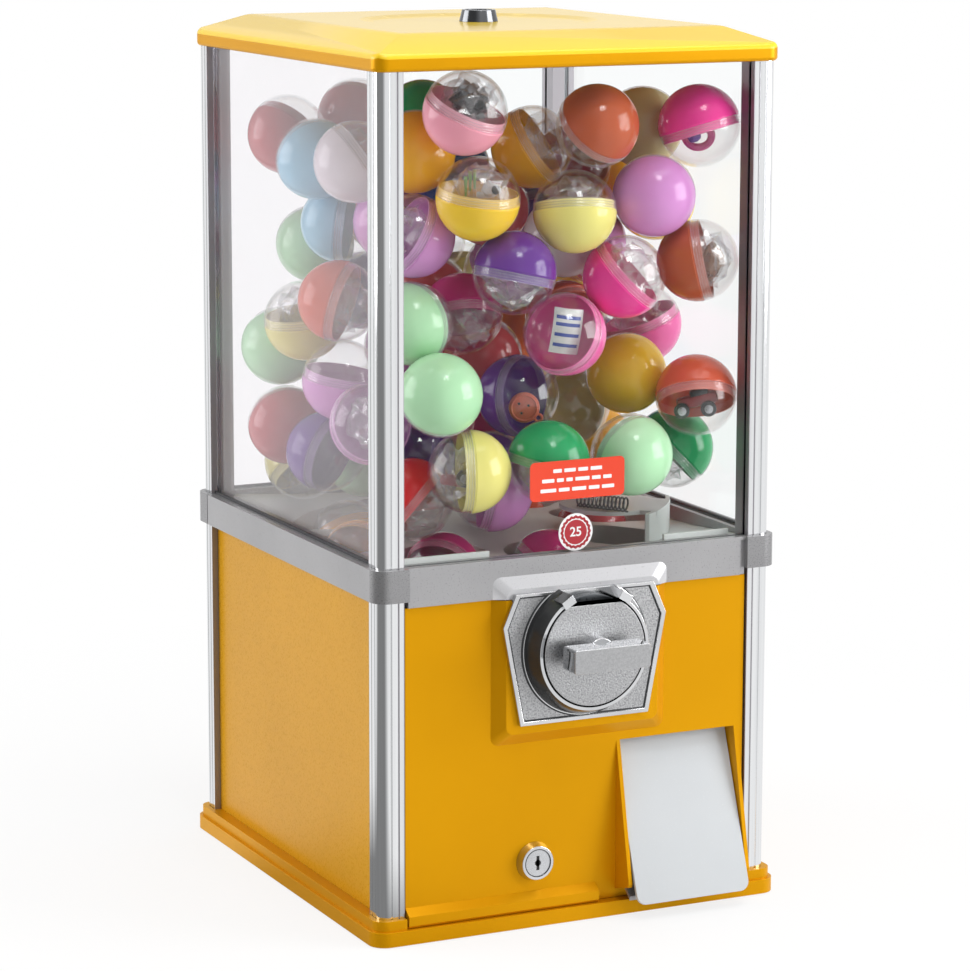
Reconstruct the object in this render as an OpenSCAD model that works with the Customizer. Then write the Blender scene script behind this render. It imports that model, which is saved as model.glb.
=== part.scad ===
// Counter-top capsule vending machine: glazed store, wheel, coin mechanism, chute and flap.
// Millimetres, +Z up, +X to the right and +Y to the back. The origin is the centre of the
// base on the table.

/* [Base] */
// Width of the base
base_w = 260; // [250:1:280]
// Depth of the base
base_d = 280; // [270:1:300]
// Height of the lower step
step_h = 8.5; // [7:0.5:11]
// Full height of the base
base_h = 14.5; // [13:0.5:18]
// How far the upper step stands in
step_in = 2; // [1:0.5:3]
// Outer corner radius of the base
base_r = 10; // [7:0.5:14]
// Thickness of the base floor
floor_t = 3; // [2.5:0.5:4]
// Distance between the stand holes across X
stand_x = 120; // [100:5:150]
// Distance between the stand holes across Y
stand_y = 160; // [120:5:180]
// Radius of the stand holes
stand_r = 4.25; // [3:0.25:5]

/* [Frame] */
// Height of the post tops above the table
post_top = 490; // [470:1:520]
// How far the posts stand in from the base edge
post_inset = 5.5; // [5:0.5:7]
// Side of the square post section
post_side = 15; // [14:0.5:17]
// Radius of the outer post corner
post_r = 6; // [4:0.5:8]
// Radius of the screw core along each post
core_r = 2.1; // [1.8:0.1:2.4]
// Depth of the post sockets in the base
socket_d = 8; // [6:0.5:9]
// Radius of the flutes along the posts
flute_r = 0.5; // [0.3:0.1:0.7]
// Distance from a post face to the panels
setback = 4; // [3.5:0.1:4.5]
// Thickness of the windows and panels
panel_t = 2.5; // [2:0.1:3]
// How far a panel reaches into a post
grip = 5.5; // [4:0.5:6]
// Clearance round a panel or a post in its seat
fit = 0.15; // [0.1:0.05:0.25]

/* [Belt] */
// Height of the underside of the belt
belt_z = 197; // [192:1:205]
// Height of the belt
belt_h = 18.5; // [17:0.5:22]
// How far the belt stands out from the posts
belt_out = 3.5; // [2.5:0.5:4.5]
// Depth of the recessed front of the belt
belt_recess = 2.5; // [1.5:0.5:3]
// How far the front of the belt drops below its sides
belt_drop = 4; // [3:0.5:5]
// Wall of the belt inside the windows
belt_wall = 3.35; // [3:0.05:4]
// Thickness of the web between window and lower panel
web_t = 2.5; // [2:0.5:3.5]
// Thickness of the gussets that carry the hopper
gusset_t = 3.5; // [3:0.5:4]

/* [Hopper and wheel] */
// Height of the underside of the hopper floor
bowl_z = 170; // [169.5:0.5:172]
// Thickness of the hopper floor
bowl_t = 3; // [2.5:0.5:4]
// Wall of the hopper bowl
bowl_wall = 2; // [1.5:0.5:2.5]
// Gap between the hopper and the belt
bowl_gap = 0.3; // [0.2:0.1:0.5]
// Gap between the hopper and the coin housing
cup_gap = 1.5; // [1:0.1:2]
// Slope of the hopper deck in degrees
deck_slope = 8; // [5:1:9]
// Least wall between two pockets of the wheel
pocket_web = 4; // [3:0.5:6]
// Distance from a pocket circle to the rim of the wheel
pocket_rim = 4.3; // [3:0.1:5]
// Gap between a capsule and its pocket
pocket_gap = 2; // [1.6:0.1:2.2]
// Gap between the wheel and the bowl
wheel_gap = 0.7; // [0.5:0.1:1]
// Height of the wheel at its rim
wheel_h = 30; // [26:1:32]
// Rise of the wheel from rim to centre
wheel_rise = 6; // [4:1:8]
// Direction of the exit, in degrees from +X
exit_a = -40; // [-42:1:-38]
// Radius of the axle
axle_r = 4; // [3:0.5:5]
// Wall of the wheel bush
bush_wall = 2; // [1.5:0.5:3]
// Running clearance of shafts
run = 0.06; // [0.04:0.01:0.1]

/* [Capsules] */
// Diameter of a capsule
cap_d = 48; // [46:0.5:50]
// Diameter of the smaller capsules in the pockets
pocket_cap_d = 45; // [40:0.5:45]
// Smallest gap between two capsules
cap_gap = 0.2; // [0.2:0.1:0.5]
// Number of capsules dropped behind the ones at the windows
fill_n = 60; // [30:1:80]

/* [Drive] */
// Height of the knob axis
knob_z = 162; // [161.5:0.5:162.5]
// Radius of the knob shaft
shaft_r = 3; // [2.5:0.25:3]
// Module of the drive gears
gear_m = 1.5; // [1.5:0.1:1.5]
// Number of teeth on the pinion, one turn of it moves one pocket
pinion_n = 8; // [8:1:8]
// Width of the gear faces
face_w = 8; // [6:0.5:9]
// Height of a tooth above the pitch line
addendum = 1.3; // [1.1:0.1:1.4]
// Depth of a tooth below the pitch line
dedendum = 1.6; // [1.6:0.1:1.8]

/* [Door] */
// Gap between the door and the posts
door_gap = 1; // [0.5:0.5:1.5]
// How far the door face stands behind the post faces
door_in = 1.5; // [1:0.5:2]
// Wall of the door
door_t = 2.5; // [2:0.5:3]
// Depth of the flanges round the door
door_flange = 9; // [6:1:9]
// Gap above and below the door
door_play = 0.5; // [0.3:0.1:0.8]
// Half width of the raised panel at its foot
boss_x = 55.5; // [53:0.5:58]
// Height of the raised panel
boss_h = 6; // [5:0.5:7]
// Width of the slope round the raised panel
boss_slope = 7; // [5:0.5:8]
// Height of the lower edge of the raised panel
boss_z = 107.5; // [106:0.5:112]

/* [Coin mechanism] */
// Height of the lower edge of the plate
plate_z = 119.5; // [117:0.5:121]
// Height of the plate
plate_h = 76.5; // [75:0.5:78]
// Half width of the plate at its widest
plate_x = 52; // [50:0.5:54]
// Thickness of the plate
plate_t = 3; // [2.5:0.5:4]
// Radius of the coin disc
disc_r = 31.8; // [30:0.2:32]
// Height of the flat on the disc above its centre
disc_flat = 27; // [25:0.5:28]
// Thickness of the disc
disc_t = 2; // [1.5:0.5:3]
// How far the disc face stands out from the plate
disc_out = 12; // [10.5:0.5:13]
// Diameter of the coin
coin_d = 24.3; // [22:0.1:26]
// Thickness of the coin
coin_t = 1.75; // [1.5:0.05:2.2]
// Outer radius of the bezel at its foot
bezel_r = 39; // [38:0.5:40]
// Half angle of the gap at the top of the bezel
bezel_gap = 26; // [24:1:30]
// Length of the handle bar
bar_l = 48; // [40:1:54]
// Height of the handle bar
bar_h = 13.6; // [12:0.2:16]
// Depth of the handle bar
bar_t = 15; // [12:0.5:17]
// Gap behind the handle bar
bar_gap = 7; // [5:0.5:9]
// Outer radius of the housing behind the door
cup_r = 27; // [26.5:0.1:27.2]
// Wall of the housing
cup_wall = 2; // [1.5:0.5:2.5]
// Depth of the housing
cup_d = 23.5; // [22:0.5:23.5]
// Outer radius of the ratchet wheel
ratchet_r = 15; // [14.5:0.1:15]
// Depth of a ratchet tooth
ratchet_d = 3; // [2.5:0.1:3]
// Width of the ratchet wheel and the pawl
ratchet_w = 5; // [4:0.5:6]
// Angle from a pawl in a tooth gap to one that rides over the tips
pawl_up = 10.5; // [10:0.5:12]

/* [Chute and flap] */
// Distance from the right side of the door to the chute housing
chute_edge = 3.5; // [2.5:0.5:4]
// Width of the chute housing
chute_w = 80; // [79:0.5:81]
// Height of the top of the chute opening
chute_top = 102.5; // [100:0.5:104]
// Height of the front foot of the cheeks
cheek_z = 20.5; // [18:0.5:24]
// How far the cheeks stand out at the foot
cheek_out = 17; // [15:0.5:18]
// Depth of the cheeks behind the door face
cheek_in = 17; // [16:0.5:18]
// Length of the flap below its pin
flap_l = 96; // [92:0.5:96]
// Thickness of the flap
flap_t = 2; // [1.5:0.5:2.5]
// Lean of the closed flap in degrees
flap_lean = 19.8; // [18.5:0.1:21]
// Radius of the corners of the flap
flap_r = 6; // [3:0.5:8]
// Radius of the flap pin
pin_r = 1.5; // [1.2:0.1:1.8]
// Wall of the flap eye
eye_wall = 1.7; // [1.4:0.1:1.9]
// Thickness of the chute walls
chute_t = 2; // [1.5:0.5:2]

/* [Locks] */
// Outer radius of the lock bezel
lock_r = 11.5; // [11:0.1:12]
// Radius of the lock barrel
barrel_r = 9.4; // [9:0.1:9.6]
// Radius of the lock plug
plug_r = 7.8; // [7:0.1:7.9]
// Height of the door lock bezel
lock_h = 5.2; // [4:0.2:6]
// Height of the lid lock bezel
lid_lock_h = 6.9; // [5:0.1:8]
// Place of the door lock across X
lock_x = -27.5; // [-40:0.5:-20]
// Height of the door lock
lock_z = 37; // [36:0.5:45]
// Length of the door lock barrel behind the door
lock_len = 27; // [25:0.5:28]
// Length of a cam from its axis
cam_l = 24; // [20:1:26]
// Width of a cam
cam_w = 9; // [8:0.5:11]
// Thickness of a cam
cam_t = 2.2; // [1.5:0.1:2.5]

/* [Lid] */
// How far the lid stands out from the posts
lid_out = 2; // [1.5:0.5:2.5]
// Height of the upright band of the lid
band_h = 9.3; // [8:0.1:12]
// Height of the lid above its band
roof_h = 10.2; // [9:0.1:14]
// Width of the sloping border
roof_in = 26; // [20:1:32]
// Thickness of the lid
lid_t = 3; // [2.5:0.5:3.5]
// Thickness of the top frame
top_t = 2; // [1.5:0.5:2.5]
// Width of the rails of the top frame inside the windows
rail_w = 16; // [14:1:18]
// Distance from the lid lock axis to the keeper bar
bar_y = 10; // [9:0.5:12]
// Width of the keeper bar
bar_w = 16; // [12:1:20]
// Radius of the shallow dish round the lid lock
dish_r = 70; // [60:1:75]
// Depth of the dish
dish_d = 1.2; // [1:0.1:1.4]

/* [Labels] */
// Width of the price label
label_w = 60; // [50:1:66]
// Height of the price label
label_h = 22.5; // [20:0.5:26]
// Height of the middle of the price label
label_z = 257; // [250:1:262]
// Radius of the round badge
badge_r = 10.8; // [9:0.2:11]
// Height of the middle of the badge
badge_z = 226.5; // [226.5:0.5:232]
// Thickness of the labels
label_t = 0.3; // [0.2:0.05:0.4]

/* [Hidden] */
$fn = 96;
eps = 0.01;

yellow = "#E3A70C";
grey = "#A9A9AD";
steel = "#C9CCD0";
dark = "#55585C";
hopper_c = "#D8D9DB";

hw = base_w / 2;
hd = base_d / 2;
post_x = hw - post_inset;
post_y = hd - post_inset;
in_x = post_x - post_side;
in_y = post_y - post_side;
glass_x = post_x - setback;
glass_y = post_y - setback;
room_x = glass_x - panel_t;
room_y = glass_y - panel_t;
core_in = (post_side - setback - panel_t) / 2;
socket_z = base_h - socket_d;
belt_x = post_x + belt_out;
belt_y = post_y + belt_out;
belt_r = post_r + belt_out;
belt_top = belt_z + belt_h;
belt_in_x = room_x - fit - belt_wall;
belt_in_y = room_y - fit - belt_wall;
web_z = belt_z + 8;
gusset_z = belt_z + 2;
plate_y = -(post_y - door_in) - boss_h;
cup_y = plate_y + cup_d;
bowl_r = min(belt_in_x - bowl_gap - 0.2, -cup_y - cup_gap) - bowl_wall;
wheel_r = bowl_r - wheel_gap;
bowl_floor = bowl_z + bowl_t;
deck_z = bowl_floor + 33;
cap_r = cap_d / 2;
pocket_r = cap_r + pocket_gap;
pocket_ring = wheel_r - pocket_r - pocket_rim;
pockets = floor(180 / asin((pocket_r + pocket_web / 2) / pocket_ring));
hole_r = pocket_r + 0.5;
wheel_z = bowl_floor + 0.5;
exit_x = pocket_ring * cos(exit_a);
exit_y = pocket_ring * sin(exit_a);
rest_z = bowl_floor + pocket_cap_d / 2 + cap_gap;
cover_z = bowl_floor + cap_d + 1.3;
cover_t = 2.5;
pinion_r = gear_m * pinion_n / 2;
ring_n = pinion_n * pockets;
ring_r = gear_m * ring_n / 2;
ring_z = knob_z + pinion_r;
hub_hole = ring_r + face_w / 2 + 1;
door_x = in_x - door_gap;
door_y = -(post_y - door_in);
door_z = step_h + 0.3;
door_top = belt_z - belt_drop - door_play;
disc_y = plate_y - plate_t - disc_out;
chute_r = door_x - chute_edge;
chute_x = chute_r - chute_w;
pin_y = door_y + cheek_in - pin_r - eye_wall - 1.7;
pin_z = chute_top - pin_r - eye_wall - 0.7;
roof_z = post_top + band_h + roof_h;
dish_z = roof_z - dish_d;
screw_r = core_r - 0.1;
screw_head = screw_r * 1.8;

// ---- shared shapes ----
module rrect(hx, hy, r) {
  square([2 * (hx - r), 2 * hy], center = true);
  square([2 * hx, 2 * (hy - r)], center = true);
  for (sx = [-1, 1], sy = [-1, 1]) translate([sx * (hx - r), sy * (hy - r)]) circle(r);
}
module rbox(hx, hy, r, z0, z1) translate([0, 0, z0]) linear_extrude(z1 - z0) rrect(hx, hy, r);
module block(x0, x1, y0, y1, z0, z1) translate([x0, y0, z0]) cube([x1 - x0, y1 - y0, z1 - z0]);
// A cylinder along +Y from y0 to y1
module along_y(r, y0, y1, x = 0, z = 0)
  translate([x, y0, z]) rotate([-90, 0, 0]) cylinder(r = r, h = y1 - y0);
// A cylinder along +X from x0 to x1
module along_x(r, x0, x1, y = 0, z = 0)
  translate([x0, y, z]) rotate([0, 90, 0]) cylinder(r = r, h = x1 - x0);
// An outline given as [x, z], carried from y0 to y1
module carry_y(y0, y1) translate([0, y1, 0]) rotate([90, 0, 0]) linear_extrude(y1 - y0) children();
// An outline given as [y, z], carried from x0 to x1
module carry_x(x0, x1)
  translate([x0, 0, 0]) rotate([90, 0, 90]) linear_extrude(x1 - x0) children();
module at_corner(sx, sy)
  mirror([sx < 0 ? 1 : 0, 0, 0]) mirror([0, sy < 0 ? 1 : 0, 0]) children();
module at_corners() for (sx = [-1, 1], sy = [-1, 1]) at_corner(sx, sy) children();
// Wire wound as a helix about +Z
module helix(r, wire, pitch, turns, sides = 8, per_turn = 18) {
  n = round(turns * per_turn);
  points = [for (i = [0:n], j = [0:sides - 1])
    let (a = 360 * i / per_turn, b = 360 * j / sides, q = r + wire * cos(b))
    [q * cos(a), q * sin(a), pitch * i / per_turn + wire * sin(b)]];
  sides_f = [for (i = [0:n - 1], j = [0:sides - 1]) let (k = (j + 1) % sides)
    [i * sides + j, (i + 1) * sides + j, (i + 1) * sides + k, i * sides + k]];
  polyhedron(points, concat(sides_f, [[for (j = [0:sides - 1]) j]],
    [[for (j = [0:sides - 1]) n * sides + sides - 1 - j]]), convexity = 10);
}

// ---- base and frame ----
module post_outline(grow = 0) {
  s = post_side + 2 * grow;
  r = post_r + grow;
  translate([in_x - grow, in_y - grow]) {
    square([s - r, s]);
    square([s, s - r]);
    translate([s - r, s - r]) circle(r);
  }
}
module post_core() translate([in_x + core_in, in_y + core_in]) circle(core_r);

module base_plinth() color(yellow) difference() {
  union() {
    rbox(hw, hd, base_r, 0, step_h);
    rbox(hw - step_in, hd - step_in, base_r - step_in, 0, base_h);
  }
  rbox(in_x - 1.5, in_y - 1.5, 3, floor_t, base_h + 1);
  block(-in_x, in_x, -hd - 1, 2 - in_y, step_h, base_h + 1);
  at_corners() {
    translate([0, 0, socket_z]) linear_extrude(socket_d + 1) post_outline(fit);
    translate([in_x + core_in, in_y + core_in, -1]) cylinder(r = core_r + 0.1, h = base_h);
    translate([in_x + core_in, in_y + core_in, -1]) cylinder(r = screw_head + 0.4, h = floor_t + 1);
    translate([stand_x / 2, stand_y / 2, -1]) cylinder(r = stand_r, h = floor_t + 2);
  }
  for (s = [-1, 1]) block(s * glass_x - (s > 0 ? panel_t : 0) - fit,
    s * glass_x + (s < 0 ? panel_t : 0) + fit, -in_y - 1, in_y + 1, base_h - 3, base_h + 1);
  block(-in_x - 1, in_x + 1, room_y - fit, glass_y + fit, base_h - 3, base_h + 1);
}

module post() color(steel) translate([0, 0, socket_z]) linear_extrude(post_top - socket_z)
  difference() {
    post_outline();
    post_core();
    translate([in_x - 1, room_y - fit]) square([grip + 2, panel_t + 2 * fit]);
    translate([room_x - fit, in_y - 1]) square([panel_t + 2 * fit, grip + 2]);
    for (d = [3.5, post_side - post_r - 1]) {
      translate([in_x + d, post_y]) circle(flute_r, $fn = 24);
      translate([post_x, in_y + d]) circle(flute_r, $fn = 24);
    }
  }
module post_front_left() at_corner(-1, -1) post();
module post_front_right() at_corner(1, -1) post();
module post_back_left() at_corner(-1, 1) post();
module post_back_right() at_corner(1, 1) post();

module post_screw(z, down) translate([in_x + core_in, in_y + core_in, z]) mirror([0, 0, down]) {
  translate([0, 0, -2.2]) cylinder(r = screw_head, h = 2.2);
  cylinder(r = screw_r, h = 16);
}
module post_screws() color(steel) at_corners() {
  post_screw(floor_t - 0.2, 0);
  post_screw(post_top + top_t + 0.1, 1);
}

module panel_sheet_x(z0, z1) block(room_x, glass_x, -in_y - grip, in_y + grip, z0, z1);
module panel_sheet_y(z0, z1) block(-in_x - grip, in_x + grip, room_y, glass_y, z0, z1);
low_z = base_h - 2.7;
low_top = web_z - 0.3;
win_z = web_z + web_t + 0.3;
win_top = post_top - 0.4;
module side_panel_right() color("#D8A441") panel_sheet_x(low_z, low_top);
module side_panel_left() color("#D8A441") mirror([1, 0, 0]) panel_sheet_x(low_z, low_top);
module rear_panel() color("#D8A441") panel_sheet_y(low_z, low_top);
module window_right() color("#E6EEF2", 0.3) panel_sheet_x(win_z, win_top);
module window_left() color("#E6EEF2", 0.3) mirror([1, 0, 0]) panel_sheet_x(win_z, win_top);
module window_back() color("#E6EEF2", 0.3) panel_sheet_y(win_z, win_top);
module window_front() color("#E6EEF2", 0.3) mirror([0, 1, 0]) panel_sheet_y(win_z, win_top);

module glazing_strips() color(dark) {
  for (s = [0, 1]) mirror([s, 0, 0])
    block(glass_x + fit, glass_x + fit + 1.8, -in_y + fit, in_y - fit, belt_top, belt_top + 1.5);
  block(-in_x + fit, in_x - fit, glass_y + fit, glass_y + fit + 1.8, belt_top, belt_top + 1.5);
}

// Sloping-sided rounded plateau on a wall that faces -Y
module plateau(hx, y, z0, z1, h, slope, top_slope, r) hull() {
  for (sx = [-1, 1], z = [z0 + r, z1 - r]) along_y(r, y - 0.1, y, sx * (hx - r), z, $fn = 32);
  for (sx = [-1, 1], z = [z0 + slope + r, z1 - top_slope - r])
    along_y(r, y - h, y - h + 0.1, sx * (hx - slope - r), z, $fn = 32);
}

front_half = in_x - 2;
belt_front = -(belt_y - belt_recess);
module mid_frame() color(grey) difference() {
  union() {
    difference() {
      rbox(belt_x, belt_y, belt_r, belt_z, belt_top);
      rbox(belt_in_x, belt_in_y, 1, belt_z - 1, belt_top + 1);
      block(-front_half, front_half, -belt_y - 1, belt_front, belt_z - 1, belt_top + 1);
    }
    block(-front_half, front_half, belt_front, -belt_in_y - 1, belt_z - belt_drop, belt_top);
    intersection() {
      plateau(boss_x, belt_front + 0.1, door_top - 30, belt_top - 10,
        belt_front - plate_y + 0.1, boss_slope, boss_slope, 5);
      block(-hw, hw, -hd, 0, belt_z - belt_drop, belt_top);
    }
    at_corners() translate([0, 0, gusset_z]) linear_extrude(gusset_t) difference() {
      translate([belt_in_x - 40, belt_in_y - 40]) square(41);
      circle(bowl_r + bowl_wall + 1);
    }
  }
  at_corners() {
    translate([0, 0, belt_z - 6]) linear_extrude(belt_h + 12) post_outline(fit);
    translate([hop_x, hop_y, belt_z]) cylinder(r = screw_r + 0.2, h = belt_h);
  }
  for (s = [0, 1]) mirror([s, 0, 0]) {
    block(room_x - fit, glass_x + fit, -in_y - 1, in_y + 1, belt_z - 1, web_z);
    block(room_x - fit, glass_x + fit, -in_y - 1, in_y + 1, web_z + web_t, belt_top + 1);
    block(belt_x - 1.2, belt_x + 1, in_y - 2, in_y - 1, belt_z - 1, belt_top + 1);
  }
  block(-in_x - 1, in_x + 1, room_y - fit, glass_y + fit, belt_z - 1, web_z);
  for (s = [0, 1]) mirror([0, s, 0])
    block(-in_x - 1, in_x + 1, room_y - fit, glass_y + fit, web_z + web_t, belt_top + 1);
  block(front_half - 3.2, front_half, -belt_y - 1, belt_front + 1.2, belt_z - 9, belt_top - 2);
}

// Plate on the posts with a bar behind the lid lock, which its cam turns under
module top_frame() color(steel) difference() {
  rbox(room_x + 4, room_y + 4, 5, post_top, post_top + top_t);
  for (y = [[rail_w - room_y, bar_y], [bar_y + bar_w, room_y - rail_w]])
    translate([0, (y[0] + y[1]) / 2, 0])
      rbox(room_x - rail_w, (y[1] - y[0]) / 2, 10, post_top - 1, post_top + top_t + 1);
  at_corners() translate([in_x + core_in, in_y + core_in, post_top - 1])
    cylinder(r = core_r + 0.1, h = top_t + 2);
}

// ---- hopper, wheel and what carries it ----
hop_x = in_x - 9.5;
hop_y = in_y - 9.5;
boss_foot = gusset_z + gusset_t + 0.1;
function deck_at(r) = deck_z + (r - bowl_r) * tan(deck_slope);
module room_outline() difference() {
  rrect(belt_in_x - bowl_gap, belt_in_y - bowl_gap, 1);
  at_corners() post_outline(bowl_gap);
}
module hopper() color(hopper_c) difference() {
  union() {
    translate([0, 0, bowl_z]) cylinder(r = bowl_r + bowl_wall, h = deck_z - bowl_z - 0.5);
    intersection() {
      translate([0, 0, deck_z - 5]) linear_extrude(30) room_outline();
      rotate_extrude() polygon([[bowl_r - 2, deck_at(bowl_r - 2) - 3],
        [bowl_r - 2, deck_at(bowl_r - 2)], [hd + 40, deck_at(hd + 40)],
        [hd + 40, deck_at(hd + 40) - 3]]);
    }
    at_corners() translate([hop_x, hop_y, boss_foot])
      cylinder(r = 6, h = deck_at(norm([hop_x, hop_y]) - 6) - 1 - boss_foot);
    for (t = [[-in_x + 2.5, -52], [60, in_x - 7]])
      block(t[0], t[1], 0.4 - (belt_in_y - bowl_gap), 2.4 - (belt_in_y - bowl_gap), deck_z + 1,
        belt_top + 3);
  }
  translate([0, 0, bowl_floor]) cylinder(r = bowl_r, h = 60);
  translate([0, 0, bowl_z - 1]) cylinder(r = hub_hole, h = bowl_t + 2);
  translate([exit_x, exit_y, bowl_z - 1]) cylinder(r = hole_r, h = bowl_t + 2);
  at_corners() translate([hop_x, hop_y, boss_foot - 1]) cylinder(r = screw_r + 0.05, h = 5.5);
  for (s = [-1, 1]) translate([s * strap_x, 0, bowl_z - 1]) cylinder(r = screw_r + 0.05, h = 3.2);
}
module screw(z, h) translate([0, 0, z]) {
  translate([0, 0, -2.2]) cylinder(r = screw_head, h = 2.2);
  cylinder(r = screw_r, h = h);
}
module hopper_screws() color(steel) {
  at_corners() translate([hop_x, hop_y, 0]) screw(gusset_z, gusset_t + 4);
  for (s = [-1, 1]) translate([s * strap_x, 0, 0]) screw(strap_z, bowl_z - strap_z + 2);
}

strap_x = hub_hole + 8;
strap_t = 3;
strap_z = knob_z - 2;
module wheel_bracket() color(steel) difference() {
  union() {
    block(-strap_x - 5, strap_x + 5, -8, 8, strap_z, strap_z + strap_t);
    for (s = [-1, 1]) block(s * strap_x - 5, s * strap_x + 5, -8, 8, strap_z, bowl_z);
  }
  translate([0, 0, strap_z - 1]) cylinder(r = axle_r + 0.1, h = strap_t + 2);
  for (s = [-1, 1]) translate([s * strap_x, 0, strap_z - 1]) cylinder(r = screw_r + 0.2, h = 20);
}
wheel_top = wheel_z + wheel_h + wheel_rise;
module wheel_axle() color(steel) translate([0, 0, strap_z]) {
  translate([0, 0, -4]) cylinder(r = axle_r * 1.6, h = 4, $fn = 6);
  cylinder(r = axle_r, h = wheel_top + 6 - strap_z);
}
module axle_nut() color(steel) translate([0, 0, wheel_top + 0.4]) difference() {
  cylinder(r = axle_r * 1.7, h = 5, $fn = 6);
  translate([0, 0, -1]) cylinder(r = axle_r + 0.05, h = 7);
}
module wheel_bush() color("#B08D57") translate([0, 0, strap_z + strap_t + 0.3]) difference() {
  cylinder(r = axle_r + run + bush_wall, h = wheel_top - strap_z - strap_t - 0.3);
  translate([0, 0, -1]) cylinder(r = axle_r + run, h = wheel_top);
}
module drive_ring() color(dark) {
  base = ring_z + dedendum;
  difference() {
    translate([0, 0, base]) cylinder(r = ring_r + face_w / 2, h = wheel_z - base);
    translate([0, 0, base - 1]) cylinder(r = ring_r - face_w / 2, h = wheel_z);
  }
  for (i = [0:ring_n - 1]) rotate(360 * (i + 0.5) / ring_n)
    carry_x(ring_r - face_w / 2 + 0.2, ring_r + face_w / 2 - 0.2) polygon([
      [-tooth_w, base + 0.2], [-tooth_w, base], [-tip_w, ring_z - addendum],
      [tip_w, ring_z - addendum], [tooth_w, base], [tooth_w, base + 0.2]]);
}
tooth_w = gear_m * 0.86;
tip_w = gear_m * 0.36;
module dispensing_wheel() color("#E9E6DD") difference() {
  rotate_extrude() polygon([[axle_r + run + bush_wall + 0.02, wheel_z], [wheel_r, wheel_z],
    [wheel_r, wheel_z + wheel_h], [axle_r * 2.5 + 4, wheel_top],
    [axle_r + run + bush_wall + 0.02, wheel_top]]);
  for (i = [0:pockets - 1]) rotate(exit_a + 360 * i / pockets) {
    translate([pocket_ring, 0, wheel_z - 1]) cylinder(r = pocket_r, h = wheel_h + 20);
    block(pocket_ring, wheel_r + 5, -pocket_r, pocket_r, wheel_z - 1, wheel_top + 5);
  }
}
module pocket_capsules() color("#C9302C")
  for (i = [1:pockets - 1]) rotate(exit_a + 360 * i / pockets)
    translate([pocket_ring, 0, rest_z]) sphere(pocket_cap_d / 2);

// Bridge that keeps a second capsule out of the pocket over the exit
cover_r = bowl_r + 0.8;
module exit_cover() color(grey) difference() {
  union() {
    translate([exit_x, exit_y, cover_z]) cylinder(r = 30, h = cover_t);
    rotate(exit_a) block(pocket_ring, cover_r + 1, -20, 20, cover_z, cover_z + cover_t);
    intersection() {
      translate([0, 0, deck_at(cover_r + 2.5) + 0.1]) difference() {
        cylinder(r = cover_r + 2.5, h = cover_z + cover_t - deck_at(cover_r + 2.5) - 0.1);
        translate([0, 0, -1]) cylinder(r = cover_r, h = 60);
      }
      translate([exit_x * 1.32, exit_y * 1.32, bowl_z]) cylinder(r = 30, h = 80);
    }
  }
  translate([exit_x, exit_y, cover_z - 1]) cylinder(r = 5, h = cover_t + 2);
}
wiper_r = 4;
module wiper_spring() color(dark) rotate(exit_a - 17)
  translate([pocket_ring - 12, 0, cover_z + cover_t + wiper_r + 0.9]) rotate([0, 90, 0])
    helix(wiper_r, 0.6, 2.6, 13, 6, 16);

module coin_tray() color(steel) difference() {
  block(-in_x + 4, chute_x - 6, -in_y + 24, in_y - 6, floor_t + 0.3, 58);
  block(-in_x + 5.5, chute_x - 7.5, -in_y + 25.5, in_y - 7.5, floor_t + 1.8, 60);
}

// ---- capsules in the store ----
// Places at the front window as [x, z], nearest first
front_list = [[-58, 464], [25, 454], [62, 413], [-50, 415.8], [11, 406], [91, 452], [43, 367],
  [92, 374], [-73, 306], [-27, 373], [5, 336], [-55, 261], [92, 295], [49, 263], [46.5, 311.5],
  [91, 238], [-5, 263], [-92, 236], [-24.5, 303], [-91, 397], [-91, 444], [-16, 444], [56, 453],
  [-92, 348], [-61, 352], [10, 295], [82, 340], [86, 411], [-92, 274], [-41, 232], [28, 232],
  [-70, 435], [-88, 462], [70, 232]];
// Places at the left window as [y, z], nearest first
left_list = [[-30, 432], [26, 429], [-4, 395], [36, 379], [-8, 349], [82, 359], [-12, 303],
  [44, 331], [71, 264], [82, 311], [70, 440], [12, 257], [-34, 262], [79, 408], [55, 231],
  [2, 232], [100, 385], [100, 338], [100, 285], [100, 240], [-22, 458], [-49, 234]];
wall_x = room_x - cap_r - cap_gap;
wall_y = room_y - cap_r - cap_gap;
pitch_d = cap_d + cap_gap;
// How near the windows a capsule can lie beside the corner posts
function beside(d, wall, corner) = let (r = cap_r + cap_gap)
  d >= r ? wall : min(wall, corner - sqrt(r * r - d * d));
function lim_x(y) = beside(in_y - abs(y), wall_x, in_x);
function lim_y(x) = beside(in_x - abs(x), wall_y, in_y);
function inside(p) = abs(p[0]) <= lim_x(p[1]) + eps && abs(p[1]) <= lim_y(p[0]) + eps;
function clear_of(p, balls) = len([for (b = balls) if (norm(p - b) < pitch_d - eps) 1]) == 0;
// Height at which a capsule rests on the deck, the cover, the axle or the pocketed capsules
function over(h, r, d) = h + sqrt(max(0, r * r - d * d));
function ground(x, y) = let (q = norm([x, y]), r = cap_r + cap_gap) max([
  q > bowl_r - r ? over(deck_z, r, max(0, bowl_r - q)) : 0,
  q > bowl_r - 3 ? deck_at(q) + r / cos(deck_slope) : 0,
  over(rest_z, r + pocket_cap_d / 2, q - pocket_ring),
  over(wheel_top + 6, r, max(0, q - 7)),
  over(cover_z + cover_t + 2 * wiper_r + 2, r, max(0, norm([x - exit_x, y - exit_y]) - 36))]);
function settle(p) = let (y = max(-wall_y, min(p[1], wall_y)),
  x = max(-lim_x(y), min(p[0], lim_x(y))), v = max(-lim_y(x), min(y, lim_y(x))))
  [x, v, max(p[2], ground(x, v))];
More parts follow.
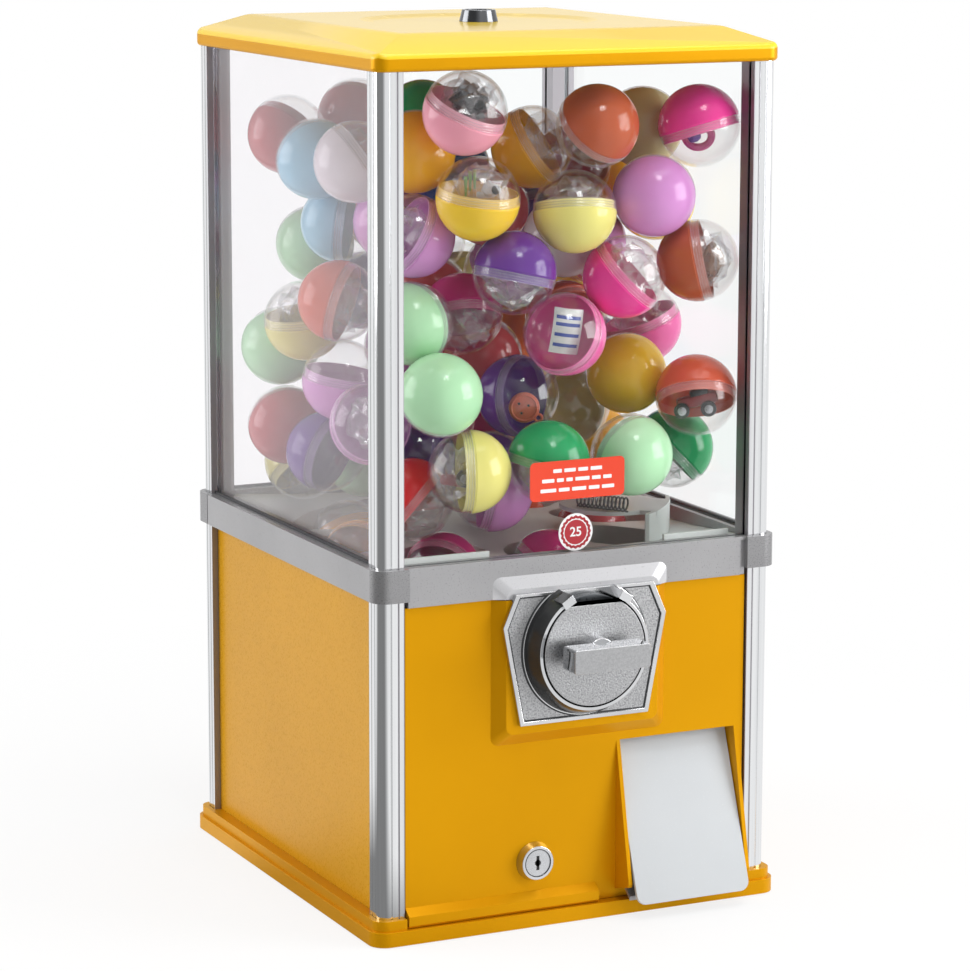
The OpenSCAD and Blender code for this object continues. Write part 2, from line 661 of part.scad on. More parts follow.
// A capsule with no room at the window moves inwards until it is clear of the others
function move_in(p, t) = settle([p[0] + 0.493 * t, p[1] + t, p[2] + t * (p[2] - 633) / 1731]);
function push(p, balls, t = 0) = t > 150 ? [] :
  clear_of(move_in(p, t), balls) ? [move_in(p, t)] : push(p, balls, t + 0.5);
function add_all(list, balls, i = 0) = i >= len(list) ? balls :
  add_all(list, concat(balls, push(list[i], balls)), i + 1);
// The heap is highest at the front and falls away to the back
function heap_z(x, y) = post_top - cap_r - 28 - 0.12 * (y + wall_y) + 0.05 * x;
// Of many places tried that touch a capsule and are clear of the others, the lowest
function lowest(balls, seed, k) = let (
  t = rands(0, 1, 3 * k, seed),
  c = [for (i = [0:k - 1]) let (
    b = balls[floor(t[3 * i] * len(balls))], u = 360 * t[3 * i + 1], v = asin(2 * t[3 * i + 2] - 1),
    p = b + (pitch_d + eps) * [cos(v) * cos(u), cos(v) * sin(u), sin(v)])
    if (inside(p) && p[2] >= ground(p[0], p[1]) && p[2] < heap_z(p[0], p[1]) &&
      clear_of(p, balls)) p],
  z = min(concat([post_top], [for (p = c) p[2]])))
  concat([for (p = c) if (p[2] == z) p], [[]])[0];
function add_fill(n, balls) = n <= 0 ? balls :
  let (p = lowest(balls, 40 + n, 500)) add_fill(n - 1, len(p) > 0 ? concat(balls, [p]) : balls);
module capsules() {
  front = [for (p = front_list) [p[0], -wall_y, p[1]]];
  left = [for (p = left_list) [-wall_x, p[0], p[1]]];
  color("#D96FA8") for (p = add_fill(fill_n, add_all(left, add_all(front, []))))
    translate(p) sphere(cap_r, $fn = 48);
}

module price_label() color("#E8452B")
  carry_y(-glass_y - label_t, -glass_y) translate([0, label_z])
    rrect(label_w / 2, label_h / 2, 3);
module round_badge() color("white") along_y(badge_r, -glass_y - label_t, -glass_y, -1, badge_z);

// ---- front door and what it carries ----
module cheek(x) carry_x(x, x + door_t) polygon([[door_y + cheek_in, chute_top + 2.5],
  [door_y, chute_top + 2.5], [door_y, chute_top], [door_y - cheek_out, cheek_z],
  [door_y - cheek_out + 0.5, cheek_z - 2], [door_y, door_z + 5], [door_y + cheek_in, door_z + 5]]);
// Rib that the closed flap rests on
module flap_stop(x) translate([x, pin_y, pin_z]) rotate([-flap_lean, 0, 0])
  block(0, 3, flap_t - pin_r - eye_wall + 0.3, flap_t - pin_r - eye_wall + 3.3, -flap_l * 0.7,
    -flap_l * 0.4);
module door_shell() difference() {
  union() {
    block(-door_x, door_x, door_y, door_y + door_t, door_z, door_top);
    difference() {
      block(-door_x, door_x, door_y, door_y + door_flange, door_z, door_top);
      block(-door_x + door_t, door_x - door_t, door_y - 1, door_y + door_flange + 1,
        door_z + door_t, door_top - door_t);
    }
    intersection() {
      plateau(boss_x, door_y + 0.1, boss_z, belt_top - 10, boss_h + 0.1, boss_slope,
        boss_slope, 5);
      block(-hw, hw, -hd - 50, 0, 0, door_top);
    }
    carry_x(-door_x, chute_x - 13) polygon([[door_y + 1, door_z], [door_y + 1, 19.5], [door_y, 19.5],
      [door_y - 5.3, 15.5], [door_y - 5.3, door_z + 1.5], [door_y - 4, door_z]]);
    cheek(chute_x);
    cheek(chute_r - door_t);
  }
  intersection() {
    plateau(boss_x - 3, door_y + door_t + 0.1, boss_z + 3, belt_top - 10, boss_h + 0.1,
      boss_slope, boss_slope, 4);
    block(-hw, hw, -hd - 50, 0, 0, door_top - door_t);
  }
  block(chute_x + door_t, chute_r - door_t, door_y - 30, door_y + door_t + eps, door_z + 5,
    chute_top);
  along_y(cup_r + 0.4, plate_y - 1, door_y + 20, 0, knob_z);
  along_y(barrel_r + 0.2, door_y - 1, door_y + 20, lock_x, lock_z);
  for (s = mech_at) along_y(screw_r + 0.2, plate_y - 1, door_y + 9, s[0], s[1]);
  along_x(pin_r + run, chute_x + 0.8, chute_r - 0.8, pin_y, pin_z);
}
module front_door() color(yellow) {
  door_shell();
  flap_stop(chute_x + door_t - 0.1);
  flap_stop(chute_r - door_t - 2.9);
}
mech_at = [for (sx = [-1, 1], z = [plate_z + 9, min(plate_z + plate_h - 13, door_top - 9.5)])
  [sx * 38, z]];
plate_pts = [[-44, plate_z + plate_h], [-plate_x, plate_z + plate_h - 18.5], [-41, plate_z],
  [41, plate_z], [plate_x, plate_z + plate_h - 18.5], [44, plate_z + plate_h]];
module mech_plate() color(steel) difference() {
  union() {
    carry_y(plate_y - plate_t + 1, plate_y) polygon(plate_pts);
    carry_y(plate_y - plate_t, plate_y) difference() {
      polygon(plate_pts);
      translate([0, knob_z]) scale(0.94) translate([0, -knob_z]) polygon(plate_pts);
    }
    along_y(bezel_r + 0.6, plate_y - plate_t, plate_y, 0, knob_z);
  }
  carry_y(plate_y - 60, plate_y + 1) translate([-90, plate_z + plate_h]) square([180, 40]);
  along_y(shaft_r + 1, plate_y - 60, plate_y + 1, 0, knob_z);
  for (s = mech_at) along_y(screw_r + 0.05, plate_y - 1.6, plate_y + 1, s[0], s[1]);
}
module mech_screws() color(steel) for (s = mech_at) {
  along_y(screw_r, plate_y - 1.4, plate_y + door_t + 2.8, s[0], s[1]);
  along_y(screw_head, plate_y + door_t + 0.1, plate_y + door_t + 2.8, s[0], s[1]);
}
bore_r = disc_r + 0.7;
bezel_y = plate_y - plate_t;
module coin_bezel() color(dark) {
  difference() {
    translate([0, bezel_y, knob_z]) rotate([90, 0, 0]) rotate_extrude() polygon([[bore_r, 0],
      [bezel_r, 0], [bezel_r - 0.8, 3], [bore_r + 2, disc_out - 0.5], [bore_r, disc_out - 0.5]]);
    carry_y(bezel_y - 20, bezel_y + 1) translate([0, knob_z])
      polygon([[0, 0], [-60 * tan(bezel_gap), 60], [60 * tan(bezel_gap), 60]]);
  }
  for (s = [-1, 1]) translate([0, 0, knob_z]) rotate([0, s * (bezel_gap + 5), 0])
    block(-4, 4, bezel_y - disc_out - 3, bezel_y, bore_r + 0.1, bezel_r - 1.5);
}
module mech_housing() color(dark) difference() {
  along_y(cup_r, plate_y, cup_y, 0, knob_z);
  along_y(cup_r - cup_wall, plate_y - 1, cup_y - 2.5, 0, knob_z);
  along_y(shaft_r + run, plate_y, cup_y + 1, 0, knob_z);
  block(-13, 13, plate_y + 4, cup_y - 4, knob_z - 40, knob_z - 15);
  along_y(1.6, cup_y - 5, cup_y + 1, pawl_x, pawl_z);
}
module coin_guide() color(steel) {
  y0 = door_y + door_t + 0.1;
  difference() {
    carry_x(-17, 17) polygon([[y0, boss_z - 9], [y0, plate_z + 3], [y0 + 2, plate_z + 3],
      [y0 + 40, plate_z - 35], [y0 + 40, plate_z - 37], [y0 + 1.5, boss_z + 3],
      [y0 + 1.5, boss_z - 9]]);
    carry_x(-15.5, 15.5) polygon([[y0 - 1, plate_z + 4], [y0 + 41, plate_z - 34.5],
      [y0 + 41, plate_z - 30], [y0 + 3, plate_z + 8]]);
  }
}
ramp_back = exit_y + hole_r + 2.5;
ramp_k = (knob_z - 34 - 12) / (ramp_back - (door_y - 13));
function ramp(y) = 12 + (y - (door_y - 13)) * ramp_k;
chute_high = ring_z - addendum - 1.2;
module chute() color(grey) difference() {
  a = chute_x + door_t + 0.3;
  b = chute_r - door_t - 0.3;
  front = door_y + cheek_in + 2.5;
  union() {
    carry_x(a, b) polygon([[ramp_back + chute_t, chute_high], [ramp_back + chute_t, ramp(ramp_back) - 3],
      [front, ramp(front) - 3], [front, chute_top + 1], [door_y + 52, chute_high]]);
    carry_x(a, b) polygon([[front + 1, ramp(front + 1)], [front + 1, ramp(front + 1) - 3],
      [door_y - 13, 9.6], [door_y - 13, 12]]);
    block(a - 6, b + 2, front - 2.4, front, 40, chute_top + 8);
  }
  carry_x(a + chute_t, b - chute_t) polygon([[ramp_back, chute_high + 1], [ramp_back, ramp(ramp_back)],
    [door_y - 14, ramp(door_y - 14)], [door_y - 14, chute_top - 1], [front + 3, chute_top - 1],
    [door_y + 50, chute_high + 1]]);
}
module flap_pin() color(steel) along_x(pin_r, chute_x + 1, chute_r - 1, pin_y, pin_z);
module chute_flap() color("#D9DCDF") {
  x0 = chute_x + door_t + 0.7;
  x1 = chute_r - door_t - 0.7;
  er = pin_r + eye_wall;
  translate([0, pin_y, pin_z]) rotate([-flap_lean, 0, 0]) difference() {
    union() {
      along_x(er, x0, x1);
      carry_y(-er, -er + flap_t) {
        translate([x0, -flap_l + flap_r]) square([x1 - x0, flap_l - flap_r]);
        translate([x0 + flap_r, -flap_l]) square([x1 - x0 - 2 * flap_r, flap_l]);
        for (x = [x0 + flap_r, x1 - flap_r]) translate([x, -flap_l + flap_r]) circle(flap_r);
      }
    }
    along_x(pin_r + run, x0 - 1, x1 + 1);
  }
}

// ---- ratchet ----
ratchet_y = plate_y + 9;
pawl_a = 152;
pawl_x = 19.6 * cos(pawl_a);
pawl_z = knob_z + 19.6 * sin(pawl_a);
tip_a = 104;
ratchet_n = 8;
root_r = ratchet_r - ratchet_d;
function polar(r, a) = [r * cos(a), knob_z + r * sin(a)];
module ratchet_wheel() color(steel) carry_y(ratchet_y, ratchet_y + ratchet_w)
  translate([0, knob_z]) difference() {
    polygon([for (i = [0:ratchet_n - 1], j = [0:3]) let (
      a = tip_a - 3 + 360 / ratchet_n * i + 14.6 * j, r = root_r + ratchet_d * j / 3)
      [r * cos(a), r * sin(a)]]);
    circle(shaft_r + 0.03);
  }
module pawl_pin() color(steel) along_y(1.5, ratchet_y - 3, cup_y + 0.8, pawl_x, pawl_z);
module ratchet_pawl() color(steel) carry_y(ratchet_y + 0.2, ratchet_y + ratchet_w - 0.2)
  difference() {
    union() {
      translate([pawl_x, pawl_z]) circle(3, $fn = 48);
      translate([pawl_x, pawl_z]) rotate(pawl_up) translate([-pawl_x, -pawl_z]) polygon([polar(ratchet_r + 2.6, pawl_a - 5), polar(ratchet_r + 0.8, tip_a + 23),
        polar(root_r + 0.7, tip_a), polar(root_r + 2.6, tip_a), polar(ratchet_r + 3.4, tip_a + 19),
        polar(ratchet_r + 6.9, pawl_a - 5.5)]);
    }
    translate([pawl_x, pawl_z]) circle(1.5 + run, $fn = 48);
  }
module pawl_spring() color(dark) translate([pawl_x, ratchet_y + ratchet_w + 1.2, pawl_z])
  rotate([-90, 0, 0]) helix(2.4, 0.35, 1.1, 4, 6, 14);

// ---- knob ----
module knob_shaft() color(steel)
  along_y(shaft_r, disc_y - 4, -ring_r + face_w / 2 + 1, 0, knob_z);
module drive_pinion() color(dark) {
  y0 = -ring_r - face_w / 2;
  y1 = -ring_r + face_w / 2;
  difference() {
    union() {
      along_y(pinion_r - dedendum, y0, y1, 0, knob_z);
      for (i = [0:pinion_n - 1]) translate([0, 0, knob_z]) rotate([0, 360 * i / pinion_n, 0])
        carry_y(y0 + 0.1, y1 - 0.1) polygon([[-tooth_w, shaft_r + 0.4],
          [-tooth_w, pinion_r - dedendum], [-tip_w, pinion_r + addendum],
          [tip_w, pinion_r + addendum], [tooth_w, pinion_r - dedendum], [tooth_w, shaft_r + 0.4]]);
    }
    along_y(shaft_r + 0.03, y0 - 1, y1 + 1, 0, knob_z);
  }
}
slot_w = coin_t + 0.6;
module coin_carrier() color(dark) difference() {
  along_y(disc_r - 0.3, disc_y + disc_t + 0.1, bezel_y - 0.4, 0, knob_z);
  along_y(shaft_r + 0.03, disc_y, bezel_y, 0, knob_z);
  block(-coin_d / 2 - 0.5, coin_d / 2 + 0.5, disc_y + disc_t + 1.5, disc_y + disc_t + 1.5 + slot_w,
    knob_z + disc_r - coin_d + 2, knob_z + 60);
  block(-20, 20, disc_y, disc_y + disc_t + 1.6, knob_z + disc_flat, knob_z + 60);
}
module coin_disc() color(steel) difference() {
  along_y(disc_r, disc_y, disc_y + disc_t, 0, knob_z);
  along_y(shaft_r + 0.03, disc_y - 1, disc_y + disc_t + 1, 0, knob_z);
  block(-40, 40, disc_y - 1, disc_y + disc_t + 1, knob_z + disc_flat, knob_z + 60);
}
module turn_handle() color(steel) difference() {
  union() {
    along_y(9, disc_y - bar_gap - 1, disc_y, 0, knob_z);
    carry_y(disc_y - bar_gap - bar_t, disc_y - bar_gap) translate([0, knob_z])
      rrect(bar_l / 2, bar_h / 2, 1.5);
  }
  along_y(shaft_r + 0.03, disc_y - 4.1, disc_y + 1, 0, knob_z);
}

// ---- locks: face up, panel surface at z = 0 ----
module cam_outline(grow = 0) {
  circle(cam_w / 2 + 1.5 + grow);
  translate([-cam_l + cam_w / 2, -cam_w / 2 - grow]) square([cam_l - cam_w / 2, cam_w + 2 * grow]);
  translate([-cam_l + cam_w / 2, 0]) circle(cam_w / 2 + grow);
}
module lock_body(len, h) color(steel) difference() {
  union() {
    cylinder(r1 = lock_r, r2 = lock_r - 1.7, h = h);
    translate([0, 0, -len]) cylinder(r = barrel_r, h = len + 1);
  }
  translate([0, 0, -len - 1]) cylinder(r = plug_r + run, h = len + h + 2);
}
module lock_plug(len, h) color(steel) difference() {
  union() {
    translate([0, 0, -len]) cylinder(r = plug_r, h = len + h - 0.3);
    translate([0, 0, -len - cam_t - 0.6]) cylinder(r = 4, h = cam_t + 1);
  }
  translate([0, 0, h - 6]) {
    cylinder(r = 1.9, h = 8);
    translate([-0.9, -4.2, 0]) cube([1.8, 8.4, 8]);
  }
}
module lock_cam(len) color(steel) translate([0, 0, -len - cam_t - 0.3])
  linear_extrude(cam_t) difference() {
    cam_outline();
    circle(4.03);
  }
module lock_nut(wall) color(steel) translate([0, 0, -wall - 4.8]) difference() {
  cylinder(r = barrel_r + 4, h = 4.7, $fn = 6);
  translate([0, 0, -1]) cylinder(r = barrel_r + 0.05, h = 7);
}
module at_door_lock() translate([lock_x, door_y, lock_z]) rotate([90, 0, 0]) children();
module at_lid_lock() translate([0, 0, dish_z]) mirror([1, 0, 0]) children();
lid_len = dish_z - post_top - top_t - 1.3;
module door_lock_body() at_door_lock() lock_body(lock_len, lock_h);
module door_lock_plug() at_door_lock() lock_plug(lock_len, lock_h);
module door_lock_cam() at_door_lock() lock_cam(lock_len);
module door_lock_nut() at_door_lock() lock_nut(door_t);
module lock_keeper() color(steel) {
  y = door_y + lock_len - 2.5;
  block(lock_x - 10, lock_x + 10, y, y + 1.5, floor_t + 0.1, lock_z - barrel_r - 1.4);
  block(lock_x - 10, lock_x + 10, y, y + 10, floor_t + 0.1, floor_t + 1.6);
}

// ---- lid ----
// Pyramid-roofed block with rounded upright corners
module hip(hx, hy, r, z0, zb, zt, inset) intersection() {
  rbox(hx, hy, r, z0, zt + 1);
  carry_y(-hy - 1, hy + 1) polygon([[-hx - 1, z0], [hx + 1, z0], [hx + 1, zb - 0.4],
    [hx - inset, zt], [-hx + inset, zt], [-hx - 1, zb - 0.4]]);
  carry_x(-hx - 1, hx + 1) polygon([[-hy - 1, z0], [hy + 1, z0], [hy + 1, zb - 0.4],
    [hy - inset, zt], [-hy + inset, zt], [-hy - 1, zb - 0.4]]);
}
module lid() color(yellow) difference() {
  hip(post_x + lid_out, post_y + lid_out, post_r + lid_out, post_top, post_top + band_h, roof_z,
    roof_in);
  hip(room_x + 4.5, room_y + 4.5, 4, post_top - 1, post_top + band_h - lid_t, roof_z - lid_t,
    roof_in);
  translate([0, 0, dish_z]) cylinder(r1 = dish_r - 8, r2 = dish_r, h = dish_d + 0.01);
  translate([0, 0, post_top]) cylinder(r = barrel_r + 0.2, h = 60);
}
module lid_lock_body() at_lid_lock() lock_body(lid_len, lid_lock_h);
module lid_lock_plug() at_lid_lock() lock_plug(lid_len + top_t + 1.4, lid_lock_h);
module lid_lock_cam() at_lid_lock() lock_cam(lid_len + top_t + 1.4);
module lid_lock_nut() at_lid_lock() lock_nut(lid_t - dish_d);

base_plinth();
post_front_left();
post_front_right();
post_back_left();
post_back_right();
mid_frame();
side_panel_left();
side_panel_right();
rear_panel();
window_front();
window_back();
window_left();
window_right();
glazing_strips();
top_frame();
post_screws();
hopper();
hopper_screws();
exit_cover();
wiper_spring();
wheel_bracket();
wheel_axle();
axle_nut();
capsules();
price_label();
round_badge();
coin_tray();
lock_keeper();
dispensing_wheel();
drive_ring();
wheel_bush();
pocket_capsules();
front_door();
mech_plate();
coin_bezel();
mech_housing();
mech_screws();
coin_guide();
chute();
flap_pin();
pawl_pin();
pawl_spring();
door_lock_body();
door_lock_nut();
door_lock_plug();
door_lock_cam();
chute_flap();
ratchet_pawl();
knob_shaft();
drive_pinion();
ratchet_wheel();
coin_carrier();
coin_disc();
turn_handle();
lid();
lid_lock_body();
lid_lock_nut();
lid_lock_plug();
lid_lock_cam();
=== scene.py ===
import math
import random

import bmesh
import bpy
from mathutils import Matrix, Vector
from mathutils import noise as folds


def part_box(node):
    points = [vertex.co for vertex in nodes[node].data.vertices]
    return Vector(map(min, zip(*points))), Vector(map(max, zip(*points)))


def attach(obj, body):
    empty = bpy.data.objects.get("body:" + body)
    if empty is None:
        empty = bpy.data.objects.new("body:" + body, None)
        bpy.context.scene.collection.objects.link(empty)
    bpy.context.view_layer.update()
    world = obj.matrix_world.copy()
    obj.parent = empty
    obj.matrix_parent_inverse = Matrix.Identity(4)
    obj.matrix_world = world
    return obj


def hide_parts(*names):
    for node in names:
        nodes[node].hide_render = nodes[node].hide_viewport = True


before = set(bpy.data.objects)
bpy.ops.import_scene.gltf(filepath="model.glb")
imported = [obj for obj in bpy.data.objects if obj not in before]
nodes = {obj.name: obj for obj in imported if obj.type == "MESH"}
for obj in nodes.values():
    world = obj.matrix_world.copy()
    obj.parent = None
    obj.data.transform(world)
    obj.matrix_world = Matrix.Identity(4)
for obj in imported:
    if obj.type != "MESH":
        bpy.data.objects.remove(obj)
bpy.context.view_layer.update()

mm = 0.001
folds.seed_set(30)      # film and foil crumple the same way in every run


cameraPlan = {
    "spot": (-0.90066, -1.87795, 0.62151),
    "tilt": 80.170,
    "roll": 0.134,
    "turn": -25.789,
    "lens": 130.824,
    "sensor": 36,
    "shift": (-0.003, -0.05),
    "clip": (0.05, 60),
}


def makeCamera():
    camera = bpy.data.objects.new("camera", bpy.data.cameras.new("camera"))
    bpy.context.scene.collection.objects.link(camera)
    camera.location = cameraPlan["spot"]
    turn = Matrix.Rotation(math.radians(cameraPlan["turn"]), 4, "Z")
    tilt = Matrix.Rotation(math.radians(cameraPlan["tilt"]), 4, "X")
    roll = Matrix.Rotation(math.radians(cameraPlan["roll"]), 4, "Z")
    camera.rotation_euler = (turn @ tilt @ roll).to_euler()
    camera.data.lens = cameraPlan["lens"]
    camera.data.sensor_width = cameraPlan["sensor"]
    camera.data.shift_x, camera.data.shift_y = cameraPlan["shift"]
    camera.data.clip_start, camera.data.clip_end = cameraPlan["clip"]
    bpy.context.scene.camera = camera


makeCamera()
scene = bpy.context.scene
scene.view_settings.view_transform = "Standard"
scene.cycles.transparent_max_bounces = 56      # many clear shells lie behind one another
print("camera set")


def freshMaterial(name):
    material = bpy.data.materials.new(name)
    material.use_nodes = True
    tree = material.node_tree
    tree.nodes.clear()
    return material, tree


def addNode(tree, kind, **settings):
    node = tree.nodes.new("ShaderNode" + kind)
    for key, value in settings.items():
        if hasattr(node, key) and key not in node.inputs:
            setattr(node, key, value)
        else:
            node.inputs[key].default_value = value
    return node


def link(tree, a, b):
    tree.links.new(a, b)


def objectPlace(tree, scale=(1, 1, 1)):
    place = addNode(tree, "TexCoord")
    turn = addNode(tree, "Mapping", Scale=scale)
    link(tree, place.outputs["Object"], turn.inputs["Vector"])
    return turn.outputs["Vector"]


def noise(tree, place, scale, rough):
    n = addNode(tree, "TexNoise", Scale=scale, Detail=3.0, Roughness=rough)
    link(tree, place, n.inputs["Vector"])
    return n.outputs["Fac"]


def ramp(tree, value, low, high, lowTo, highTo):
    n = addNode(tree, "MapRange")
    ends = {"From Min": low, "From Max": high, "To Min": lowTo, "To Max": highTo}
    for key, number in ends.items():
        n.inputs[key].default_value = number
    link(tree, value, n.inputs["Value"])
    return n.outputs["Result"]


colourA, colourB, colourOut = 6, 7, 2      # the Mix node's colour sockets


# low is a colour or another node's output
def colourMix(tree, share, low, high):
    n = addNode(tree, "Mix", data_type="RGBA")
    link(tree, share, n.inputs["Factor"])
    if isinstance(low, tuple):
        n.inputs[colourA].default_value = (*low, 1)
    else:
        link(tree, low, n.inputs[colourA])
    n.inputs[colourB].default_value = (*high, 1)
    return n.outputs[colourOut]


# share is a fixed number or a node's output
def mixShaders(tree, share, first, second):
    mix = addNode(tree, "MixShader")
    if isinstance(share, float):
        mix.inputs[0].default_value = share
    else:
        link(tree, share, mix.inputs[0])
    link(tree, first.outputs[0], mix.inputs[1])
    link(tree, second.outputs[0], mix.inputs[2])
    return mix


# thin lines across a coordinate, as (axis, place, half width) in metres,
# the same on both sides of the middle
def lineMask(tree, place, lines):
    parts = addNode(tree, "SeparateXYZ")
    link(tree, place, parts.inputs[0])
    total = None
    for axis, spot, halfWidth in lines:
        size = addNode(tree, "Math", operation="ABSOLUTE")
        link(tree, parts.outputs[axis], size.inputs[0])
        hit = addNode(tree, "Math", operation="COMPARE")
        link(tree, size.outputs[0], hit.inputs[0])
        hit.inputs[1].default_value = spot
        hit.inputs[2].default_value = halfWidth
        if total is None:
            total = hit
            continue
        both = addNode(tree, "Math", operation="MAXIMUM")
        link(tree, total.outputs[0], both.inputs[0])
        link(tree, hit.outputs[0], both.inputs[1])
        total = both
    return total.outputs[0]


# colour wanders between two near shades, roughness wanders too, and a fine bump follows;
# edge is how far a corner is softened for the light, and flute lines are dark, dull lines of
# painted shade
def surface(name, shades, rough, metal=0.0, grain=400, bump=0.02, bumpDepth=0.0002, cloud=9,
            edge=0.0006, coat=0.0, stretch=(1, 1, 1), specular=0.5, cloudRange=(0.35, 0.65),
            gloss=(1, 1, 1), fluteShade=None):
    material, tree = freshMaterial(name)
    out = addNode(tree, "OutputMaterial")
    shader = addNode(tree, "BsdfPrincipled")
    link(tree, shader.outputs[0], out.inputs["Surface"])
    shader.inputs["Metallic"].default_value = metal
    shader.inputs["Specular IOR Level"].default_value = specular
    shader.inputs["Specular Tint"].default_value = (*gloss, 1)
    shader.inputs["Coat Weight"].default_value = coat
    shader.inputs["Coat Roughness"].default_value = 0.1
    place = objectPlace(tree, stretch)
    wide = noise(tree, place, cloud, 0.5)
    fine = noise(tree, place, grain, 0.6)
    colour = colourMix(tree, ramp(tree, wide, *cloudRange, 0, 1), *shades)
    shine = ramp(tree, fine, 0.3, 0.7, *rough)
    if fluteShade:
        mask = lineMask(tree, objectPlace(tree), fluteShade["lines"])
        colour = colourMix(tree, mask, colour, fluteShade["shade"])
        dull = addNode(tree, "Math", operation="MULTIPLY_ADD")
        link(tree, mask, dull.inputs[0])
        dull.inputs[1].default_value = fluteShade["duller"]
        link(tree, shine, dull.inputs[2])
        shine = dull.outputs[0]
    link(tree, colour, shader.inputs["Base Color"])
    link(tree, shine, shader.inputs["Roughness"])
    lift = addNode(tree, "Bump", Strength=bump, Distance=bumpDepth)
    link(tree, fine, lift.inputs["Height"])
    if edge:
        soft = addNode(tree, "Bevel", samples=4, Radius=edge)
        link(tree, soft.outputs[0], lift.inputs["Normal"])
    link(tree, lift.outputs[0], shader.inputs["Normal"])
    return material


# clear sheet: mirrors more at a glancing angle, lets light straight through, and may carry a white
# layer, which is real haze on collar and film, painted reflection on the left pane and painted
# highlight on the ribs
def clearSheet(name, tint, base, rough, hazeAndSheen=0.0):
    material, tree = freshMaterial(name)
    out = addNode(tree, "OutputMaterial")
    through = addNode(tree, "BsdfTransparent", Color=(*tint, 1))
    shine = addNode(tree, "BsdfGlossy", Roughness=rough, Color=(1, 1, 1, 1))
    facing = addNode(tree, "LayerWeight", Blend=0.5)
    steep = addNode(tree, "Math", operation="POWER")
    steep.inputs[1].default_value = 5.0      # how late the mirroring sets in
    link(tree, facing.outputs["Facing"], steep.inputs[0])
    sheet = mixShaders(tree, ramp(tree, steep.outputs[0], 0, 1, base, 1.0), through, shine)
    if hazeAndSheen:
        hazeAndSheenLayer = addNode(tree, "BsdfDiffuse", Color=(0.93, 0.90, 0.94, 1))
        sheet = mixShaders(tree, hazeAndSheen, sheet, hazeAndSheenLayer)
    link(tree, sheet.outputs[0], out.inputs["Surface"])
    return material


# what several finishes share
paintGloss, roofGloss = (1.0, 0.84, 0.12), (1.0, 0.92, 0.62)
roofCoat = {"rough": (0.25, 0.27), "grain": 900, "bump": 0.0, "cloud": 5, "edge": 0,
            "specular": 0.4, "gloss": roofGloss}
moulded = {"grain": 1500, "bump": 0.05, "bumpDepth": 0.0001, "cloud": 14, "edge": 0,
           "specular": 0.35}
plated = {"grain": 300, "bump": 0.02, "cloud": 30, "edge": 0}
lockPlated = {"grain": 300, "bump": 0.01, "cloud": 30, "edge": 0.0006}
printed = {"rough": (0.3, 0.38), "grain": 900, "edge": 0, "specular": 0.3}

yellowPaint = surface("yellowPaint", [(0.625, 0.280, 0.0012), (0.685, 0.314, 0.0020)],
                      (0.30, 0.38), 0.3, grain=900, bump=0.05, bumpDepth=0.0001, cloud=6, edge=0,
                      specular=0.4, gloss=paintGloss)
panelPaint = surface("panelPaint", [(0.60, 0.29, 0.006), (0.65, 0.315, 0.008)], (0.26, 0.30),
                     grain=900, bump=0.0, cloud=6, edge=0, specular=0.22, gloss=paintGloss)
# painted light: the lid's slopes and flat top take a lighter copy of the yellow paint, with a
# paler gloss
roofPaintedLight = surface("roofPaintedLight", [(0.90, 0.60, 0.020), (0.93, 0.63, 0.025)], coat=0.3, **roofCoat)
roofTopPaintedLight = surface("roofTopPaintedLight", [(0.90, 0.61, 0.030), (0.93, 0.64, 0.036)], coat=0.45, **roofCoat)

# painted shade: one dark line in a flute on each outer face of a post; the faces turned to the
# store darkened
fluteShadePlan = {"lines": [(0, 0.1130, 0.0004), (1, 0.1230, 0.0004), (0, 0.1095, 0.0004),
                       (1, 0.1195, 0.0004)], "shade": (0.40, 0.385, 0.41), "duller": 0.5}
postMetal = surface("postMetal", [(0.76, 0.77, 0.785), (0.86, 0.87, 0.88)], (0.06, 0.11), 1.0,
                    grain=60, bump=0.0, cloud=3, edge=0, stretch=(90, 90, 1), fluteShade=fluteShadePlan)

greyMoulding = surface("greyMoulding", [(0.345, 0.342, 0.35), (0.385, 0.382, 0.39)],
                       (0.26, 0.36), 0.6, **moulded)
paleMoulding = surface("paleMoulding", [(0.51, 0.51, 0.525), (0.56, 0.56, 0.575)],
                       (0.26, 0.36), 0.3, **moulded)
# painted shade: the belt's corner caps are the grey moulding made darker
capShadeMoulding = surface("capShadeMoulding", [(0.26, 0.258, 0.265), (0.30, 0.298, 0.305)],
                      (0.24, 0.34), 0.6, **moulded)
darkStrip = surface("darkStrip", [(0.03, 0.03, 0.035), (0.06, 0.06, 0.065)], (0.5, 0.7),
                    grain=600, edge=0.0003)
zincSteel = surface("zincSteel", [(0.46, 0.47, 0.49), (0.58, 0.59, 0.60)], (0.28, 0.42), 1.0,
                    grain=500, bump=0.03, cloud=60, edge=0.0004)
hopperPlastic = surface("hopperPlastic", [(0.68, 0.71, 0.69), (0.75, 0.78, 0.76)], (0.30, 0.40),
                        grain=700, cloud=12)
wheelPlastic = surface("wheelPlastic", [(0.62, 0.60, 0.54), (0.70, 0.68, 0.62)], (0.38, 0.48),
                       grain=700, cloud=12)
gearPlastic = surface("gearPlastic", [(0.035, 0.035, 0.04), (0.06, 0.06, 0.065)], (0.42, 0.52),
                      grain=700, edge=0.0003)
bushBrass = surface("bushBrass", [(0.62, 0.42, 0.18), (0.74, 0.52, 0.24)], (0.25, 0.36), 1.0,
                    edge=0.0003)
dieCast = surface("dieCast", [(0.31, 0.312, 0.32), (0.47, 0.472, 0.48)], (0.25, 0.40), 1.0,
                  grain=1000, bump=0.7, bumpDepth=0.0003, cloud=1000, edge=0,
                  cloudRange=(0.38, 0.62))
